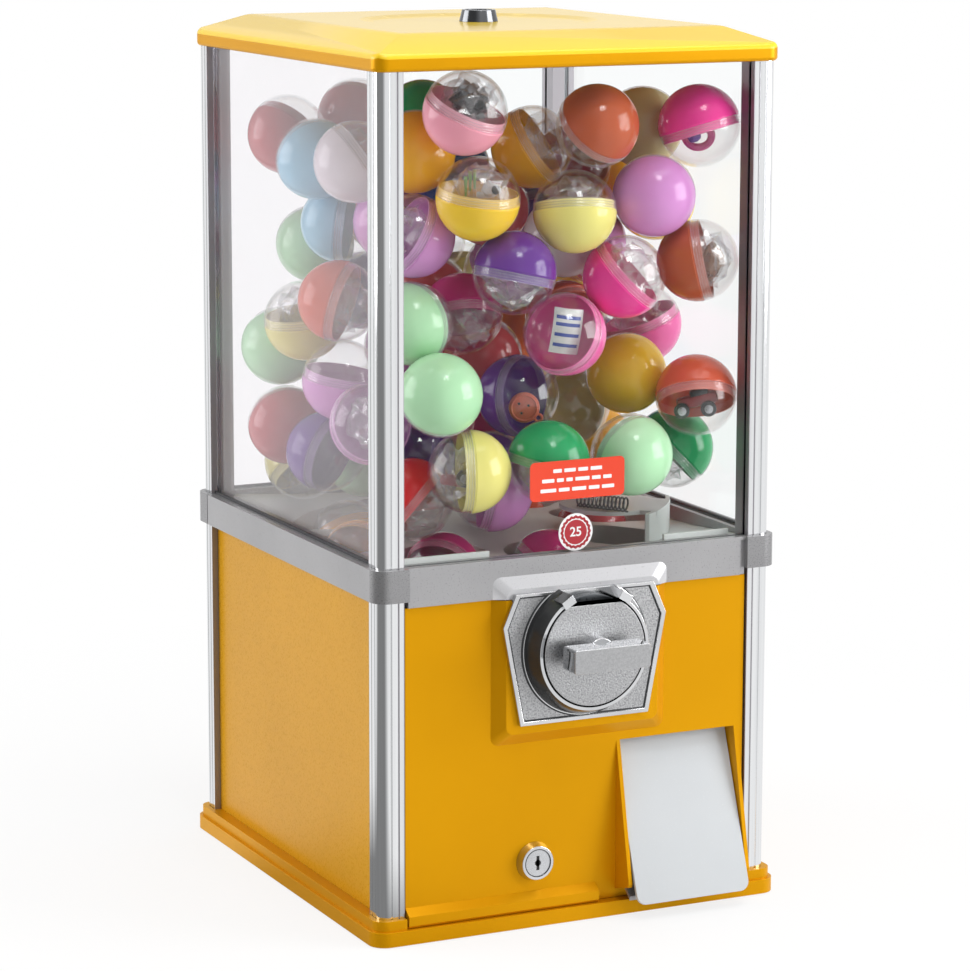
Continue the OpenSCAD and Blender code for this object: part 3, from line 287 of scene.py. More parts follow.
barCast = surface("barCast", [(0.37, 0.372, 0.38), (0.45, 0.452, 0.46)], (0.28, 0.38), 1.0,
                  grain=1300, bump=0.3, cloud=1100, edge=0)
smoothCast = surface("smoothCast", [(0.60, 0.605, 0.615), (0.72, 0.725, 0.735)], (0.12, 0.2),
                     1.0, **plated)
chromeCast = surface("chromeCast", [(0.62, 0.63, 0.645), (0.74, 0.75, 0.765)], (0.05, 0.11),
                     1.0, **plated)
# painted shade: the coin bezel's outer wall, dark and hardly mirroring
wallShadeChrome = surface("wallShadeChrome", [(0.022, 0.023, 0.024), (0.034, 0.035, 0.036)],
                       (0.12, 0.2), **plated)
darkCast = surface("darkCast", [(0.10, 0.11, 0.12), (0.16, 0.17, 0.18)], (0.25, 0.4), 0.9,
                   grain=500, bump=0.05, cloud=30)
# painted shade for the groove in the coin plate and the gap round each lock plug
grooveShade = surface("grooveShade", [(0.03, 0.032, 0.035), (0.06, 0.062, 0.065)], (0.4, 0.5), 0.6,
                     grain=500, edge=0)
lockChrome = surface("lockChrome", [(0.60, 0.61, 0.63), (0.72, 0.73, 0.75)], (0.05, 0.12), 1.0,
                     **lockPlated)
darkLock = surface("darkLock", [(0.13, 0.135, 0.145), (0.20, 0.205, 0.215)], (0.08, 0.16), 1.0,
                   **lockPlated)
lockFace = surface("lockFace", [(0.52, 0.53, 0.55), (0.62, 0.63, 0.65)], (0.24, 0.32), 0.9,
                   grain=700, cloud=30, edge=0.0004)
# painted shade: a dark slab sunk in each keyhole
keyholeShade = surface("keyholeShade", [(0.006, 0.006, 0.007), (0.012, 0.012, 0.013)], (0.5, 0.6),
                      grain=300, edge=0)
flapPlastic = surface("flapPlastic", [(0.52, 0.545, 0.565), (0.56, 0.585, 0.605)], (0.22, 0.28),
                      grain=900, bump=0.03, bumpDepth=0.0001, cloud=8, edge=0, specular=0.35)
springSteel = surface("springSteel", [(0.10, 0.105, 0.11), (0.22, 0.22, 0.23)], (0.25, 0.4), 1.0,
                      grain=500, edge=0)
labelRed = surface("labelRed", [(0.74, 0.055, 0.02), (0.80, 0.065, 0.025)], **printed)
labelWhite = surface("labelWhite", [(0.80, 0.80, 0.80), (0.86, 0.86, 0.86)], **printed)
badgeRed = surface("badgeRed", [(0.34, 0.02, 0.03), (0.42, 0.03, 0.04)], **printed)
windowClear = clearSheet("windowClear", (0.99, 0.994, 0.994), 0.008, 0.01)
# the left pane's white layer is painted reflection of the bright room at a glancing angle
windowSideReflection = clearSheet("windowSideReflection", (0.985, 0.975, 0.985), 0.015, 0.01, hazeAndSheen=0.05)

# every CAD part gets its finish; a dressed copy stands in for some of them further down
finishes = {
    yellowPaint: "base_plinth front_door",
    panelPaint: "side_panel_left side_panel_right rear_panel",
    roofPaintedLight: "lid",
    postMetal: "post_front_left post_front_right post_back_left post_back_right",
    greyMoulding: "mid_frame chute",
    darkStrip: "glazing_strips",
    zincSteel: "top_frame post_screws hopper_screws wheel_bracket wheel_axle axle_nut coin_tray "
               "lock_keeper mech_screws coin_guide flap_pin pawl_pin door_lock_nut door_lock_cam "
               "ratchet_pawl knob_shaft ratchet_wheel lid_lock_nut lid_lock_cam",
    hopperPlastic: "hopper exit_cover",
    wheelPlastic: "dispensing_wheel",
    gearPlastic: "drive_ring drive_pinion",
    bushBrass: "wheel_bush",
    dieCast: "mech_plate coin_disc turn_handle",
    chromeCast: "coin_bezel",
    darkCast: "mech_housing coin_carrier",
    lockChrome: "door_lock_body",
    darkLock: "lid_lock_body lid_lock_plug",
    lockFace: "door_lock_plug",
    flapPlastic: "chute_flap",
    springSteel: "wiper_spring pawl_spring",
    labelRed: "price_label",
    labelWhite: "round_badge",
    windowClear: "window_front window_back window_right",
    windowSideReflection: "window_left",
}
for finish, names in finishes.items():
    for name in names.split():
        nodes[name].data.materials.clear()
        nodes[name].data.materials.append(finish)
print("materials made")


def makePiece(name, bm, materials, body, stands=(), smoothAngle=35, keptSharp=()):
    for edge in keptSharp:
        edge.smooth = False
    mesh = bpy.data.meshes.new(name)
    bm.to_mesh(mesh)
    bm.free()
    for material in materials:
        mesh.materials.append(material)
    for face in mesh.polygons:
        face.use_smooth = True
    if not keptSharp:
        mesh.set_sharp_from_angle(angle=math.radians(smoothAngle))
    piece = bpy.data.objects.new(name, mesh)
    scene.collection.objects.link(piece)
    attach(piece, body)
    if stands:
        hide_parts(*stands)
    return piece


# the middle of each separate lump in a CAD part
def islandCentres(node):
    bm = bmesh.new()
    bm.from_mesh(nodes[node].data)
    bmesh.ops.remove_doubles(bm, verts=bm.verts, dist=1e-5)
    bm.verts.ensure_lookup_table()
    seen, centres = set(), []
    for start in bm.verts:
        if start.index in seen:
            continue
        stack, group = [start], []
        seen.add(start.index)
        while stack:
            v = stack.pop()
            group.append(v.co)
            for e in v.link_edges:
                w = e.other_vert(v)
                if w.index not in seen:
                    seen.add(w.index)
                    stack.append(w)
        low = Vector(min(c[i] for c in group) for i in range(3))
        high = Vector(max(c[i] for c in group) for i in range(3))
        centres.append((low + high) / 2)
    bm.free()
    return centres


def roundEdges(bm, edges, radius, steps):
    return bmesh.ops.bevel(bm, geom=edges, offset=radius, offset_type="OFFSET", affect="EDGES",
                           segments=steps, profile=0.5, material=-1, clamp_overlap=True)


crease = {"rounded": 45, "plain": 14}      # degrees over which an edge stays sharp


# merged copy of a CAD part with real rounded edges, and a finish chosen face by face
def softened(name, node, body, finishList, plan, choose, paint=None):
    bm = bmesh.new()
    bm.from_mesh(nodes[node].data)
    bmesh.ops.remove_doubles(bm, verts=bm.verts, dist=2e-6)
    flat = math.radians(0.4)      # triangles this level with each other become one face
    bmesh.ops.dissolve_limit(bm, angle_limit=flat, verts=bm.verts, edges=bm.edges)
    least = math.radians(plan.get("limit", 24))
    chosen = [e for e in bm.edges
              if e.is_manifold and e.is_convex and e.calc_face_angle(0) > least and choose(e)]
    rounded = set(roundEdges(bm, chosen, plan["round"], plan.get("steps", 3))["faces"])
    if paint:
        paint(bm)
    bm.normal_update()
    sharp = []
    for edge in bm.edges:
        most = crease["rounded" if rounded.intersection(edge.link_faces) else "plain"]
        if edge.is_manifold and edge.calc_face_angle(0) > math.radians(most):
            sharp.append(edge)
    piece = makePiece(name, bm, finishList, body, [node], keptSharp=sharp)
    evenNormals = piece.modifiers.new("evenNormals", "WEIGHTED_NORMAL")
    evenNormals.keep_sharp = True
    print(name, "edges rounded:", len(chosen))


def middle(edge):
    return (edge.verts[0].co + edge.verts[1].co) / 2


def outerEdge(plan):
    return lambda e: abs(middle(e).x) > plan["rimX"] or abs(middle(e).y) > plan["rimY"]


def frontEdge(plan):
    return lambda e: middle(e).y < plan["front"]


lidPlan = {"round": 2.2 * mm, "steps": 4, "limit": 12, "rimX": 0.1235, "rimY": 0.1335,
           "ridgeFrom": 0.5, "ridgeLength": 0.08, "sideUp": 0.08, "flatUp": 0.995}


def lidEdge(e):
    ridge = middle(e).z > lidPlan["ridgeFrom"] and e.calc_length() > lidPlan["ridgeLength"]
    return ridge or outerEdge(lidPlan)(e)


# 0 the upright rim, 1 the slopes, 2 the flat top; slopes and top painted lighter, as painted light
# from above
def paintLid(bm):
    for face in bm.faces:
        rise = face.normal.z
        face.material_index = (rise >= lidPlan["sideUp"]) + (rise > lidPlan["flatUp"])


plinthPlan = {"round": 1.1 * mm, "rimX": 0.1265, "rimY": 0.1365}
beltPlan = {"round": 1.2 * mm, "rimX": 0.126, "rimY": 0.134, "bumpFront": -0.1358,
            "bumpHalf": 0.07, "bumpTop": 0.2065, "capX": 0.1115, "capY": 0.1215}
doorPlan = {"round": 1.5 * mm, "steps": 4, "front": -0.1385}


# 0 the belt, 1 the paler bump over the coin plate, 2 the corner caps, darker as painted shade
def paintBelt(bm):
    for face in bm.faces:
        x, y, z = face.calc_center_median()
        bump = (y < beltPlan["bumpFront"] and abs(x) < beltPlan["bumpHalf"]
                and z < beltPlan["bumpTop"])
        cap = abs(x) > beltPlan["capX"] and abs(y) > beltPlan["capY"]
        face.material_index = 1 if bump else (2 if cap else 0)


softened("lidShell", "lid", "lid", [yellowPaint, roofPaintedLight, roofTopPaintedLight], lidPlan,
         lidEdge, paintLid)
softened("plinth", "base_plinth", "root", [yellowPaint], plinthPlan,
         outerEdge(plinthPlan))
softened("belt", "mid_frame", "root", [greyMoulding, paleMoulding, capShadeMoulding],
         beltPlan, outerEdge(beltPlan), paintBelt)
softened("doorShell", "front_door", "door", [yellowPaint], doorPlan,
         frontEdge(doorPlan))
print("rounded parts made")


# coin mechanism: textured faces, smooth rims, a thin groove inside the plate's rim painted dark as
# painted shade
platePlan = {"round": 0.5 * mm, "steps": 2, "rimFront": -0.1417, "sideFront": -0.1392,
             "sideX": 0.04, "floor": -0.1410, "groove": 0.75 * mm, "grooveDeep": 0.15 * mm}
discPlan = {"round": 0.45 * mm, "steps": 2, "front": -0.1538, "face": -0.1540}
handlePlan = {"round": 0.9 * mm, "front": -0.1605, "face": -0.1760}
bezelPlan = {"round": 2.2 * mm, "steps": 5, "front": -0.1455, "axisZ": 0.162,
             "wallFrom": 0.0335, "wallOutward": 0.75}
flapPlan = {"round": 0.6 * mm, "steps": 2, "limit": 40, "shortest": 0.4 * mm, "pinFrom": 0.098}
flatFront = {"facing": -0.9, "within": 0.2 * mm}      # what counts as a flat front face


def isFront(face, depth):
    return (face.normal.y < flatFront["facing"]
            and abs(face.calc_center_median().y - depth) < flatFront["within"])


def plateEdge(e):
    place = middle(e)
    side = place.y < platePlan["sideFront"] and abs(place.x) > platePlan["sideX"]
    return side or place.y < platePlan["rimFront"]


# 0 the textured floor, 1 the smooth rim, 2 the groove between them, painted dark as painted shade
def paintPlate(bm):
    low = [f for f in bm.faces if isFront(f, platePlan["floor"])]
    for face in bm.faces:
        face.material_index = 1
    for face in low:
        face.material_index = 0
    ring = bmesh.ops.inset_region(bm, faces=low, thickness=platePlan["groove"],
                                  depth=-platePlan["grooveDeep"], use_even_offset=True)
    for face in ring["faces"]:
        face.material_index = 2


# 0 the textured face, 1 the smooth rest
def paintFace(plan):
    def paint(bm):
        for face in bm.faces:
            face.material_index = 0 if isFront(face, plan["face"]) else 1
    return paint


# 0 the rim, 1 the outer wall, painted dark as painted shade
def paintBezel(bm):
    axis = Vector((0, 0, bezelPlan["axisZ"]))
    for face in bm.faces:
        centre = face.calc_center_median()
        away = Vector((centre.x, 0, centre.z)) - axis
        outward = face.normal.dot(away.normalized()) > bezelPlan["wallOutward"]
        face.material_index = 1 if outward and away.length > bezelPlan["wallFrom"] else 0


def flapEdge(e):
    return e.calc_length() > flapPlan["shortest"] and middle(e).z < flapPlan["pinFrom"]


softened("mechPlateShell", "mech_plate", "door", [dieCast, smoothCast, grooveShade],
         platePlan, plateEdge, paintPlate)
softened("coinDiscShell", "coin_disc", "knob", [dieCast, smoothCast], discPlan,
         frontEdge(discPlan), paintFace(discPlan))
softened("turnHandleShell", "turn_handle", "knob", [barCast, chromeCast], handlePlan,
         frontEdge(handlePlan), paintFace(handlePlan))
softened("bezelShell", "coin_bezel", "door", [chromeCast, wallShadeChrome], bezelPlan,
         frontEdge(bezelPlan), paintBezel)
softened("flapShell", "chute_flap", "flap", [flapPlastic], flapPlan, flapEdge)
print("coin mechanism dressed")


# lock faces: painted shade in the keyhole and a fine ring of painted shade between plug and body
lockPlan = {"hole": 1.95 * mm, "slotWide": 1.9 * mm, "slotTall": 8.5 * mm,
            "holeThick": 0.4 * mm, "holeSunk": 0.75 * mm, "ring": (7.75 * mm, 8.25 * mm),
            "ringThick": 0.08 * mm, "doorRingUp": 0.28 * mm, "lidRingUp": 0.18 * mm}


def addTo(target, source, matrix):
    copy = source.copy()
    bmesh.ops.transform(copy, matrix=matrix, verts=copy.verts)
    mesh = bpy.data.meshes.new("part")
    copy.to_mesh(mesh)
    copy.free()
    target.from_mesh(mesh)
    bpy.data.meshes.remove(mesh)


def thicken(bm, thickness):
    made = bmesh.ops.extrude_face_region(bm, geom=bm.faces[:])
    raised = [g for g in made["geom"] if isinstance(g, bmesh.types.BMVert)]
    bmesh.ops.translate(bm, verts=raised, vec=(0, 0, thickness))
    bmesh.ops.recalc_face_normals(bm, faces=bm.faces)


# thickens a flat shape and adds it to the piece at its place
def stamp(bm, shape, thickness, place):
    thicken(shape, thickness)
    addTo(bm, shape, place)
    shape.free()


def up(distance):
    return Matrix.Translation((0, 0, distance))


def disc(radius, sides):
    bm = bmesh.new()
    bmesh.ops.create_circle(bm, cap_ends=True, segments=sides, radius=radius)
    return bm


def slab(wide, tall, corner=0.0):
    bm = bmesh.new()
    bmesh.ops.create_grid(bm, x_segments=1, y_segments=1, size=0.5)
    bmesh.ops.scale(bm, vec=(wide, tall, 1), verts=bm.verts)
    if corner:
        bmesh.ops.bevel(bm, geom=bm.verts[:], offset=corner, offset_type="OFFSET",
                        affect="VERTICES", segments=2, profile=0.5, material=-1)
    return bm


# turned fully about +Z, points nearer than this merged
def spin(bm, geom, sides, near):
    bmesh.ops.spin(bm, geom=geom, cent=(0, 0, 0), axis=(0, 0, 1), angle=2 * math.pi,
                   steps=sides, use_merge=True)
    bmesh.ops.remove_doubles(bm, verts=bm.verts, dist=near)


def flatRing(inner, outer):
    bm = bmesh.new()
    ends = [bm.verts.new((inner, 0, 0)), bm.verts.new((outer, 0, 0))]
    spin(bm, ends + [bm.edges.new(ends)], 64, 1e-7)
    return bm


# the middle of a part's front or top, with +Z pointing out of it
def frontOf(node):
    low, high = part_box(node)
    spot = ((low[0] + high[0]) / 2, low[1], (low[2] + high[2]) / 2)
    return Matrix.Translation(spot) @ Matrix.Rotation(math.radians(90), 4, "X")


def topOf(node):
    low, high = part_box(node)
    return Matrix.Translation(((low[0] + high[0]) / 2, (low[1] + high[1]) / 2, high[2]))


def keyhole(name, body, place):
    bm = bmesh.new()
    for shape in (disc(lockPlan["hole"], 24), slab(lockPlan["slotWide"], lockPlan["slotTall"])):
        stamp(bm, shape, lockPlan["holeThick"], place @ up(-lockPlan["holeSunk"]))
    makePiece(name, bm, [keyholeShade], body)


def lockRing(name, body, place):
    bm = bmesh.new()
    stamp(bm, flatRing(*lockPlan["ring"]), lockPlan["ringThick"], place)
    makePiece(name, bm, [grooveShade], body)


keyhole("doorKeyholeShade", "door_key", frontOf("door_lock_plug"))
keyhole("lidKeyholeShade", "lid_key", topOf("lid_lock_plug"))
lockRing("doorLockRing", "door", frontOf("door_lock_plug") @ up(lockPlan["doorRingUp"]))
lockRing("lidLockRing", "lid", topOf("lid_lock_plug") @ up(lockPlan["lidRingUp"]))
print("locks dressed")


# stickers on the front window: rows of plain bars on the label, as (height, width) in
# millimetres, and a scalloped ring with a number on the badge
labelPlan = {"rows": [(5.6, 31), (0.2, 45), (-5.4, 47)], "barTall": 2.1 * mm, "barRun": (4, 10),
             "barGap": 1.6, "leastRun": 2, "corner": 0.35 * mm, "proud": 0.10 * mm, "seed": 3}
badgePlan = {"ringOut": 9.4 * mm, "ringIn": 8.0 * mm, "teeth": 20, "toothDeep": 0.035,
             "patch": 7.1 * mm, "proud": 0.10 * mm, "number": "25", "numberTall": 7.6 * mm,
             "numberBold": 0.12 * mm, "numberUp": 0.14 * mm}


def labelBars():
    bm = bmesh.new()
    rng = random.Random(labelPlan["seed"])
    for height, width in labelPlan["rows"]:
        x = -width / 2
        while x < width / 2 - labelPlan["leastRun"]:
            run = min(rng.uniform(*labelPlan["barRun"]), width / 2 - x)
            spot = Matrix.Translation(((x + run / 2) * mm, height * mm, 0))
            stamp(bm, slab(run * mm, labelPlan["barTall"], labelPlan["corner"]),
                  labelPlan["proud"], frontOf("price_label") @ spot)
            x += run + labelPlan["barGap"]
    makePiece("labelBars", bm, [labelWhite], "root")


def badgeRing():
    bm = bmesh.new()
    wave = disc(badgePlan["ringOut"], badgePlan["teeth"] * 8)
    for v in wave.verts:
        turn = math.atan2(v.co.y, v.co.x)
        v.co *= 1 + badgePlan["toothDeep"] * math.cos(turn * badgePlan["teeth"])
    rim = bmesh.ops.inset_region(wave, faces=wave.faces[:], use_boundary=True,
                                 thickness=badgePlan["ringOut"] - badgePlan["ringIn"])
    inside = [f for f in wave.faces if f not in rim["faces"]]
    bmesh.ops.delete(wave, geom=inside, context="FACES")
    for shape in (wave, disc(badgePlan["patch"], 64)):
        stamp(bm, shape, badgePlan["proud"], frontOf("round_badge"))
    makePiece("badgeRing", bm, [badgeRed], "root")


def badgeNumber():
    words = bpy.data.curves.new("badgeNumber", "FONT")
    words.body = badgePlan["number"]
    words.size = badgePlan["numberTall"]
    words.align_x, words.align_y = "CENTER", "CENTER"
    words.extrude = badgePlan["proud"] / 2
    words.offset = badgePlan["numberBold"]
    holder = bpy.data.objects.new("badgeNumberCurve", words)
    scene.collection.objects.link(holder)
    bpy.context.view_layer.update()
    mesh = bpy.data.meshes.new_from_object(holder)
    bpy.data.objects.remove(holder)
    bm = bmesh.new()
    bm.from_mesh(mesh)
    place = frontOf("round_badge") @ up(badgePlan["numberUp"])
    bmesh.ops.transform(bm, matrix=place, verts=bm.verts)
    makePiece("badgeNumber", bm, [labelWhite], "root")


labelBars()
badgeRing()
badgeNumber()
print("stickers made")


# two-part capsules: coloured half with a paler neck, clear half with a ribbed collar
capsule = {
    "radius": 23.95 * mm, "wall": 0.9 * mm, "seam": 0.3 * mm, "sides": 40, "pocketScale": 45 / 48,
    "neck": 5.0 * mm, "neckIn": (1.25, 1.5, 2.1),      # how far in, in wall thicknesses
    "ribs": (0.35 * mm, 1.9 * mm, 3.4 * mm, 4.7 * mm), "ribDeep": 0.16 * mm,
    "ribHalf": 0.25 * mm, "ribTallest": 0.3 * mm, "collarTop": 4.95 * mm,
    "domeFrom": 12.5, "seamFrom": 2.5,      # degrees from the seam
    "filmRadius": 14.5 * mm, "filmFolds": 2.7, "filmUp": 6.5 * mm, "toyUp": 5.5 * mm,
}
viewRight = Vector((0.900, -0.435, 0.0))
viewBack = Vector((-0.435, -0.900, 0.0))

shellColours = {
    "palePink": (0.86, 0.34, 0.43), "rust": (0.50, 0.10, 0.035), "lilac": (0.66, 0.28, 0.62),
    "yellow": (0.88, 0.57, 0.03), "paleYellow": (0.82, 0.75, 0.22), "hotPink": (0.88, 0.045, 0.32),
    "mint": (0.47, 0.80, 0.48), "purple": (0.13, 0.035, 0.27), "coral": (0.68, 0.11, 0.05),
    "green": (0.014, 0.34, 0.11), "red": (0.80, 0.012, 0.016), "amber": (0.90, 0.44, 0.015),
    "beige": (0.60, 0.50, 0.24), "magenta": (0.56, 0.02, 0.17), "navy": (0.012, 0.04, 0.16),
    "blue": (0.30, 0.58, 0.74), "cream": (0.72, 0.66, 0.70), "crimson": (0.52, 0.07, 0.08),
    "pink": (0.84, 0.15, 0.42),
}
# place on the front pane in millimetres, colour, where the clear half points
# (right, up, towards the viewer), and what is in it
frontRow = [
    (-58, 464, "palePink", 0.4, 0.88, 0.2, "foil"),
    (25, 454, "rust", -0.5, -0.6, -0.45, "film"),
    (62, 413, "lilac", 0.1, 0.25, -0.95, ""),
    (-50, 415.8, "yellow", 0.12, 0.97, 0.12, "sprig"),
    (11, 406, "paleYellow", -0.03, 0.95, -0.22, "film"),
    (91, 452, "hotPink", 0.28, -0.92, 0.1, "ring"),
    (43, 367, "hotPink", 0.7, 0.65, 0.1, "film"),
    (92, 374, "rust", 0.93, 0.2, 0.1, "lump"),
    (-73, 306, "mint", -0.2, -0.5, -0.85, ""),
    (-27, 373, "purple", -0.18, -0.95, 0.12, "film"),
    (5, 336, "pink", -0.45, 0.35, 0.75, "strip"),
    (-55, 261, "paleYellow", -0.97, 0.0, 0.15, "wheel"),
    (92, 295, "coral", 0.05, -0.85, 0.5, "car"),
    (49, 263, "mint", -0.6, 0.3, -0.75, ""),
    (46.5, 311.5, "yellow", -0.2, 0.1, -0.97, ""),
    (91, 238, "green", -0.7, -0.7, 0.1, "film"),
    (-5, 263, "green", -0.25, -0.93, 0.1, "film"),
    (-92, 236, "red", 0.75, -0.6, 0.1, "film"),
    (-24.5, 303, "purple", 0.8, 0.05, 0.55, "charm"),
    (-91, 397, "lilac", -0.75, 0.45, 0.3, "film"),
    (-91, 444, "amber", -0.3, 0.2, -0.9, ""),
    (-16, 444, "amber", 0.8, 0.5, 0.15, "film"),
    (56, 453, "beige", 0.0, 0.2, -0.95, ""),
    (-92, 348, "mint", 0.6, 0.1, -0.75, ""),
    (-61, 352, "magenta", 0.1, -0.85, 0.45, "film"),
    (10, 295, "amber", 0.7, 0.2, 0.2, ""),
    (82, 340, "pink", -0.35, 0.9, 0.1, "film"),
    (86, 411, "yellow", 0.1, 0.1, -0.95, ""),
    (-92, 274, "purple", -0.5, 0.7, 0.4, "film"),
    (-41, 232, "lilac", -0.9, 0.1, 0.1, ""),
    (28, 232, "coral", 0.3, 0.2, 0.9, "film"),
    (-70, 435, "navy", 0.1, 0.1, -0.95, ""),
    (-88, 462, "green", -0.2, -0.4, -0.8, ""),
    (70, 232, "mint", 0.2, 0.1, 0.9, "film"),
]
# the ones behind or at the left pane: rough centre, then colour, clear half and contents
deepRow = [
    (-90, 80, 440, "crimson", 0.5, 0.6, -0.5, ""),
    (-40, 85, 445, "crimson", 0.3, 0.5, -0.8, ""),
    (-90, 35, 430, "blue", -0.4, 0.3, -0.85, ""),
    (-85, -15, 430, "cream", 0.75, 0.5, -0.2, "film"),
    (-70, 50, 390, "blue", 0.9, -0.1, 0.1, ""),
    (-65, 95, 370, "mint", 0.0, 0.3, -0.9, ""),
    (-95, -10, 350, "coral", 0.85, -0.25, 0.2, "film"),
    (-95, 45, 330, "paleYellow", -0.1, 0.85, 0.1, "film"),
    (-90, 90, 310, "mint", 0.1, 0.3, -0.9, ""),
    (-90, -5, 300, "lilac", 0.15, 0.93, 0.05, ""),
    (-95, 70, 265, "crimson", -0.2, 0.3, -0.9, ""),
    (-90, 15, 255, "purple", 0.75, -0.25, 0.4, ""),
    (-90, -45, 280, "lilac", 0.25, 0.3, 0.9, "film"),
    (-70, 100, 235, "paleYellow", 0.5, -0.7, 0.4, "film"),
    (-55, 45, 245, "mint", 0.2, 0.2, -0.9, ""),
    (-55, -25, 255, "purple", -0.7, 0.3, 0.5, ""),
    (-55, 0, 390, "lilac", 0.2, 0.3, -0.9, ""),
    (-30, 15, 450, "green", 0.0, -0.4, -0.9, ""),
    (-35, -30, 425, "navy", 0.1, 0.1, -0.95, ""),
    (45, -35, 425, "crimson", 0.2, -0.5, 0.6, ""),
    (5, -10, 400, "crimson", 0.2, 0.3, -0.9, ""),
    (25, -60, 385, "cream", 0.1, 0.1, -0.9, ""),
    (-35, 0, 350, "crimson", 0.2, 0.3, -0.9, ""),
    (0, -5, 310, "crimson", 0.2, 0.3, -0.9, ""),
    (75, 105, 310, "rust", 0.2, 0.3, -0.9, ""),
    (50, -25, 280, "beige", 0.55, 0.1, 0.8, ""),
    (95, -70, 260, "green", -0.72, -0.68, 0.12, "film"),
    (95, -30, 330, "pink", -0.35, 0.9, 0.1, "film"),
    (-20, -65, 240, "lilac", -0.9, 0.15, 0.1, ""),
    (95, -45, 405, "yellow", 0.1, 0.1, -0.95, ""),
    (80, 0, 250, "amber", 0.1, 0.1, -0.95, ""),
    (-75, 100, 240, "coral", 0.1, 0.1, -0.95, ""),
]
# millimetres: where a capsule touches the front pane, how much further left and higher one is
# seen for each that it lies deeper, and how near a row must be to give its colour
fillPlan = {
    "paneY": -103.8, "seenLeft": 0.493, "seenHigh": 0.09, "near": 9, "deepest": 60,
    "rearFrom": 60, "seed": 7,
    "deepShades": ("crimson", "rust", "magenta", "purple", "palePink", "coral", "amber", "lilac"),
    "rearShades": ("mint", "yellow", "blue", "coral", "hotPink", "green", "lilac", "paleYellow",
                   "purple", "amber", "red", "palePink"),
}


# body, centre, colour, which way the clear half points, and contents of every capsule
def capsulePlan():
    rng = random.Random(fillPlan["seed"])
    plan = []
    for centre in islandCentres("capsules"):
        x, y, z = (c / mm for c in centre)
        deep = max(0.0, y - fillPlan["paneY"])
        across, height = x - fillPlan["seenLeft"] * deep, z + fillPlan["seenHigh"] * deep
        frontGap, front = min((abs(across - r[0]) + abs(height - r[1]), r) for r in frontRow)
        deepGap, behind = min((abs(x - r[0]) + abs(y - r[1]) + abs(z - r[2]), r) for r in deepRow)
        if deepGap < fillPlan["near"]:
            look = behind[3:]
        elif frontGap <= fillPlan["near"] and deep <= fillPlan["deepest"]:
            look = front[2:]
        else:
            shades = fillPlan["rearShades" if y > fillPlan["rearFrom"] else "deepShades"]
            look = (rng.choice(shades), *(rng.uniform(-1, 1) for axis in range(3)), "")
        colour, right, high, near, held = look
        aim = viewRight * right + Vector((0, 0, high)) + viewBack * near
        plan.append(("root", centre, colour, aim.normalized(), held))
    for centre in islandCentres("pocket_capsules"):
        aim = Vector([rng.uniform(-1, 1) for axis in range(3)])
        plan.append(("wheel", centre, rng.choice(fillPlan["deepShades"]), aim.normalized(), ""))
    return plan


def turned(profile):
    bm = bmesh.new()
    verts = [bm.verts.new((r, 0, z)) for r, z in profile]
    edges = [bm.edges.new(pair) for pair in zip(verts, verts[1:])]
    spin(bm, verts + edges, capsule["sides"], 1e-6)
    bmesh.ops.recalc_face_normals(bm, faces=bm.faces)
    return bm


def arc(radius, start, end, steps):
    turns = [math.radians(start + (end - start) * i / steps) for i in range(steps + 1)]
    return [(radius * math.cos(turn), radius * math.sin(turn)) for turn in turns]


# 0 the shell, 1 the neck that the clear half sits on
def colouredHalf(k):
    r, w, n = capsule["radius"] * k, capsule["wall"] * k, capsule["neck"] * k
    seam, (low, high, inner) = capsule["seam"], capsule["neckIn"]
    rim = [(r - seam, -2 * seam), (r - seam, 0)]
    neck = [(r - low * w, 0.2 * mm), (r - high * w, n), (r - inner * w, n)]
    bm = turned(arc(r, -90, -capsule["seamFrom"], 9) + rim + neck + arc(r - inner * w, 0, -90, 8))
    for face in bm.faces:
        face.material_index = 1 if face.calc_center_median().z > 0.05 * n else 0
    return bm


# 0 clear, 1 hazy collar, 2 rib whitened as painted highlight; the clear half points up
def clearHalf(k):
    r, w = capsule["radius"] * k, capsule["wall"] * k
    deep, half = capsule["ribDeep"], capsule["ribHalf"]
    profile = [(r - w, 0.0), (r - 0.1 * mm, 0.0)]
    for height in capsule["ribs"]:
        wide = math.sqrt(r * r - height * height) - 0.05 * mm
        profile += [(wide - deep, height - half), (wide, height), (wide - deep, height + half)]
    bm = turned(profile + arc(r, capsule["domeFrom"], 90, 9) + arc(r - w, 90, 1, 8))
    for face in bm.faces:
        place = face.calc_center_median()
        collar = place.z < capsule["collarTop"] and place.length > r - 0.6 * w
        tall = max(v.co.z for v in face.verts) - min(v.co.z for v in face.verts)
        rib = tall < capsule["ribTallest"] and place.z > 0.05 * mm
        face.material_index = 0 if not collar else (2 if rib else 1)
    return bm


def titled(colour):
    return colour[0].upper() + colour[1:]


# shell and neck of one colour, the neck a little paler
def capsuleShades(colour):
    base = shellColours[colour]
    pale = tuple(0.90 * c + 0.07 for c in base)
    glossy = {"grain": 300, "bump": 0.01, "cloud": 16, "edge": 0, "specular": 0.42}
    shades = [tuple(c * 0.94 for c in base), tuple(min(1, c * 1.04) for c in base)]
    shell = surface("shell" + titled(colour), shades, (0.07, 0.12), **glossy)
    neck = surface("neck" + titled(colour), [pale, tuple(min(1, c * 1.05) for c in pale)],
                   (0.2, 0.3), **glossy)
    return [shell, neck]


shellClear = clearSheet("shellClear", (0.972, 0.972, 0.972), 0.035, 0.03)
collarHaze = clearSheet("collarHaze", (0.96, 0.96, 0.965), 0.04, 0.06, hazeAndSheen=0.02)
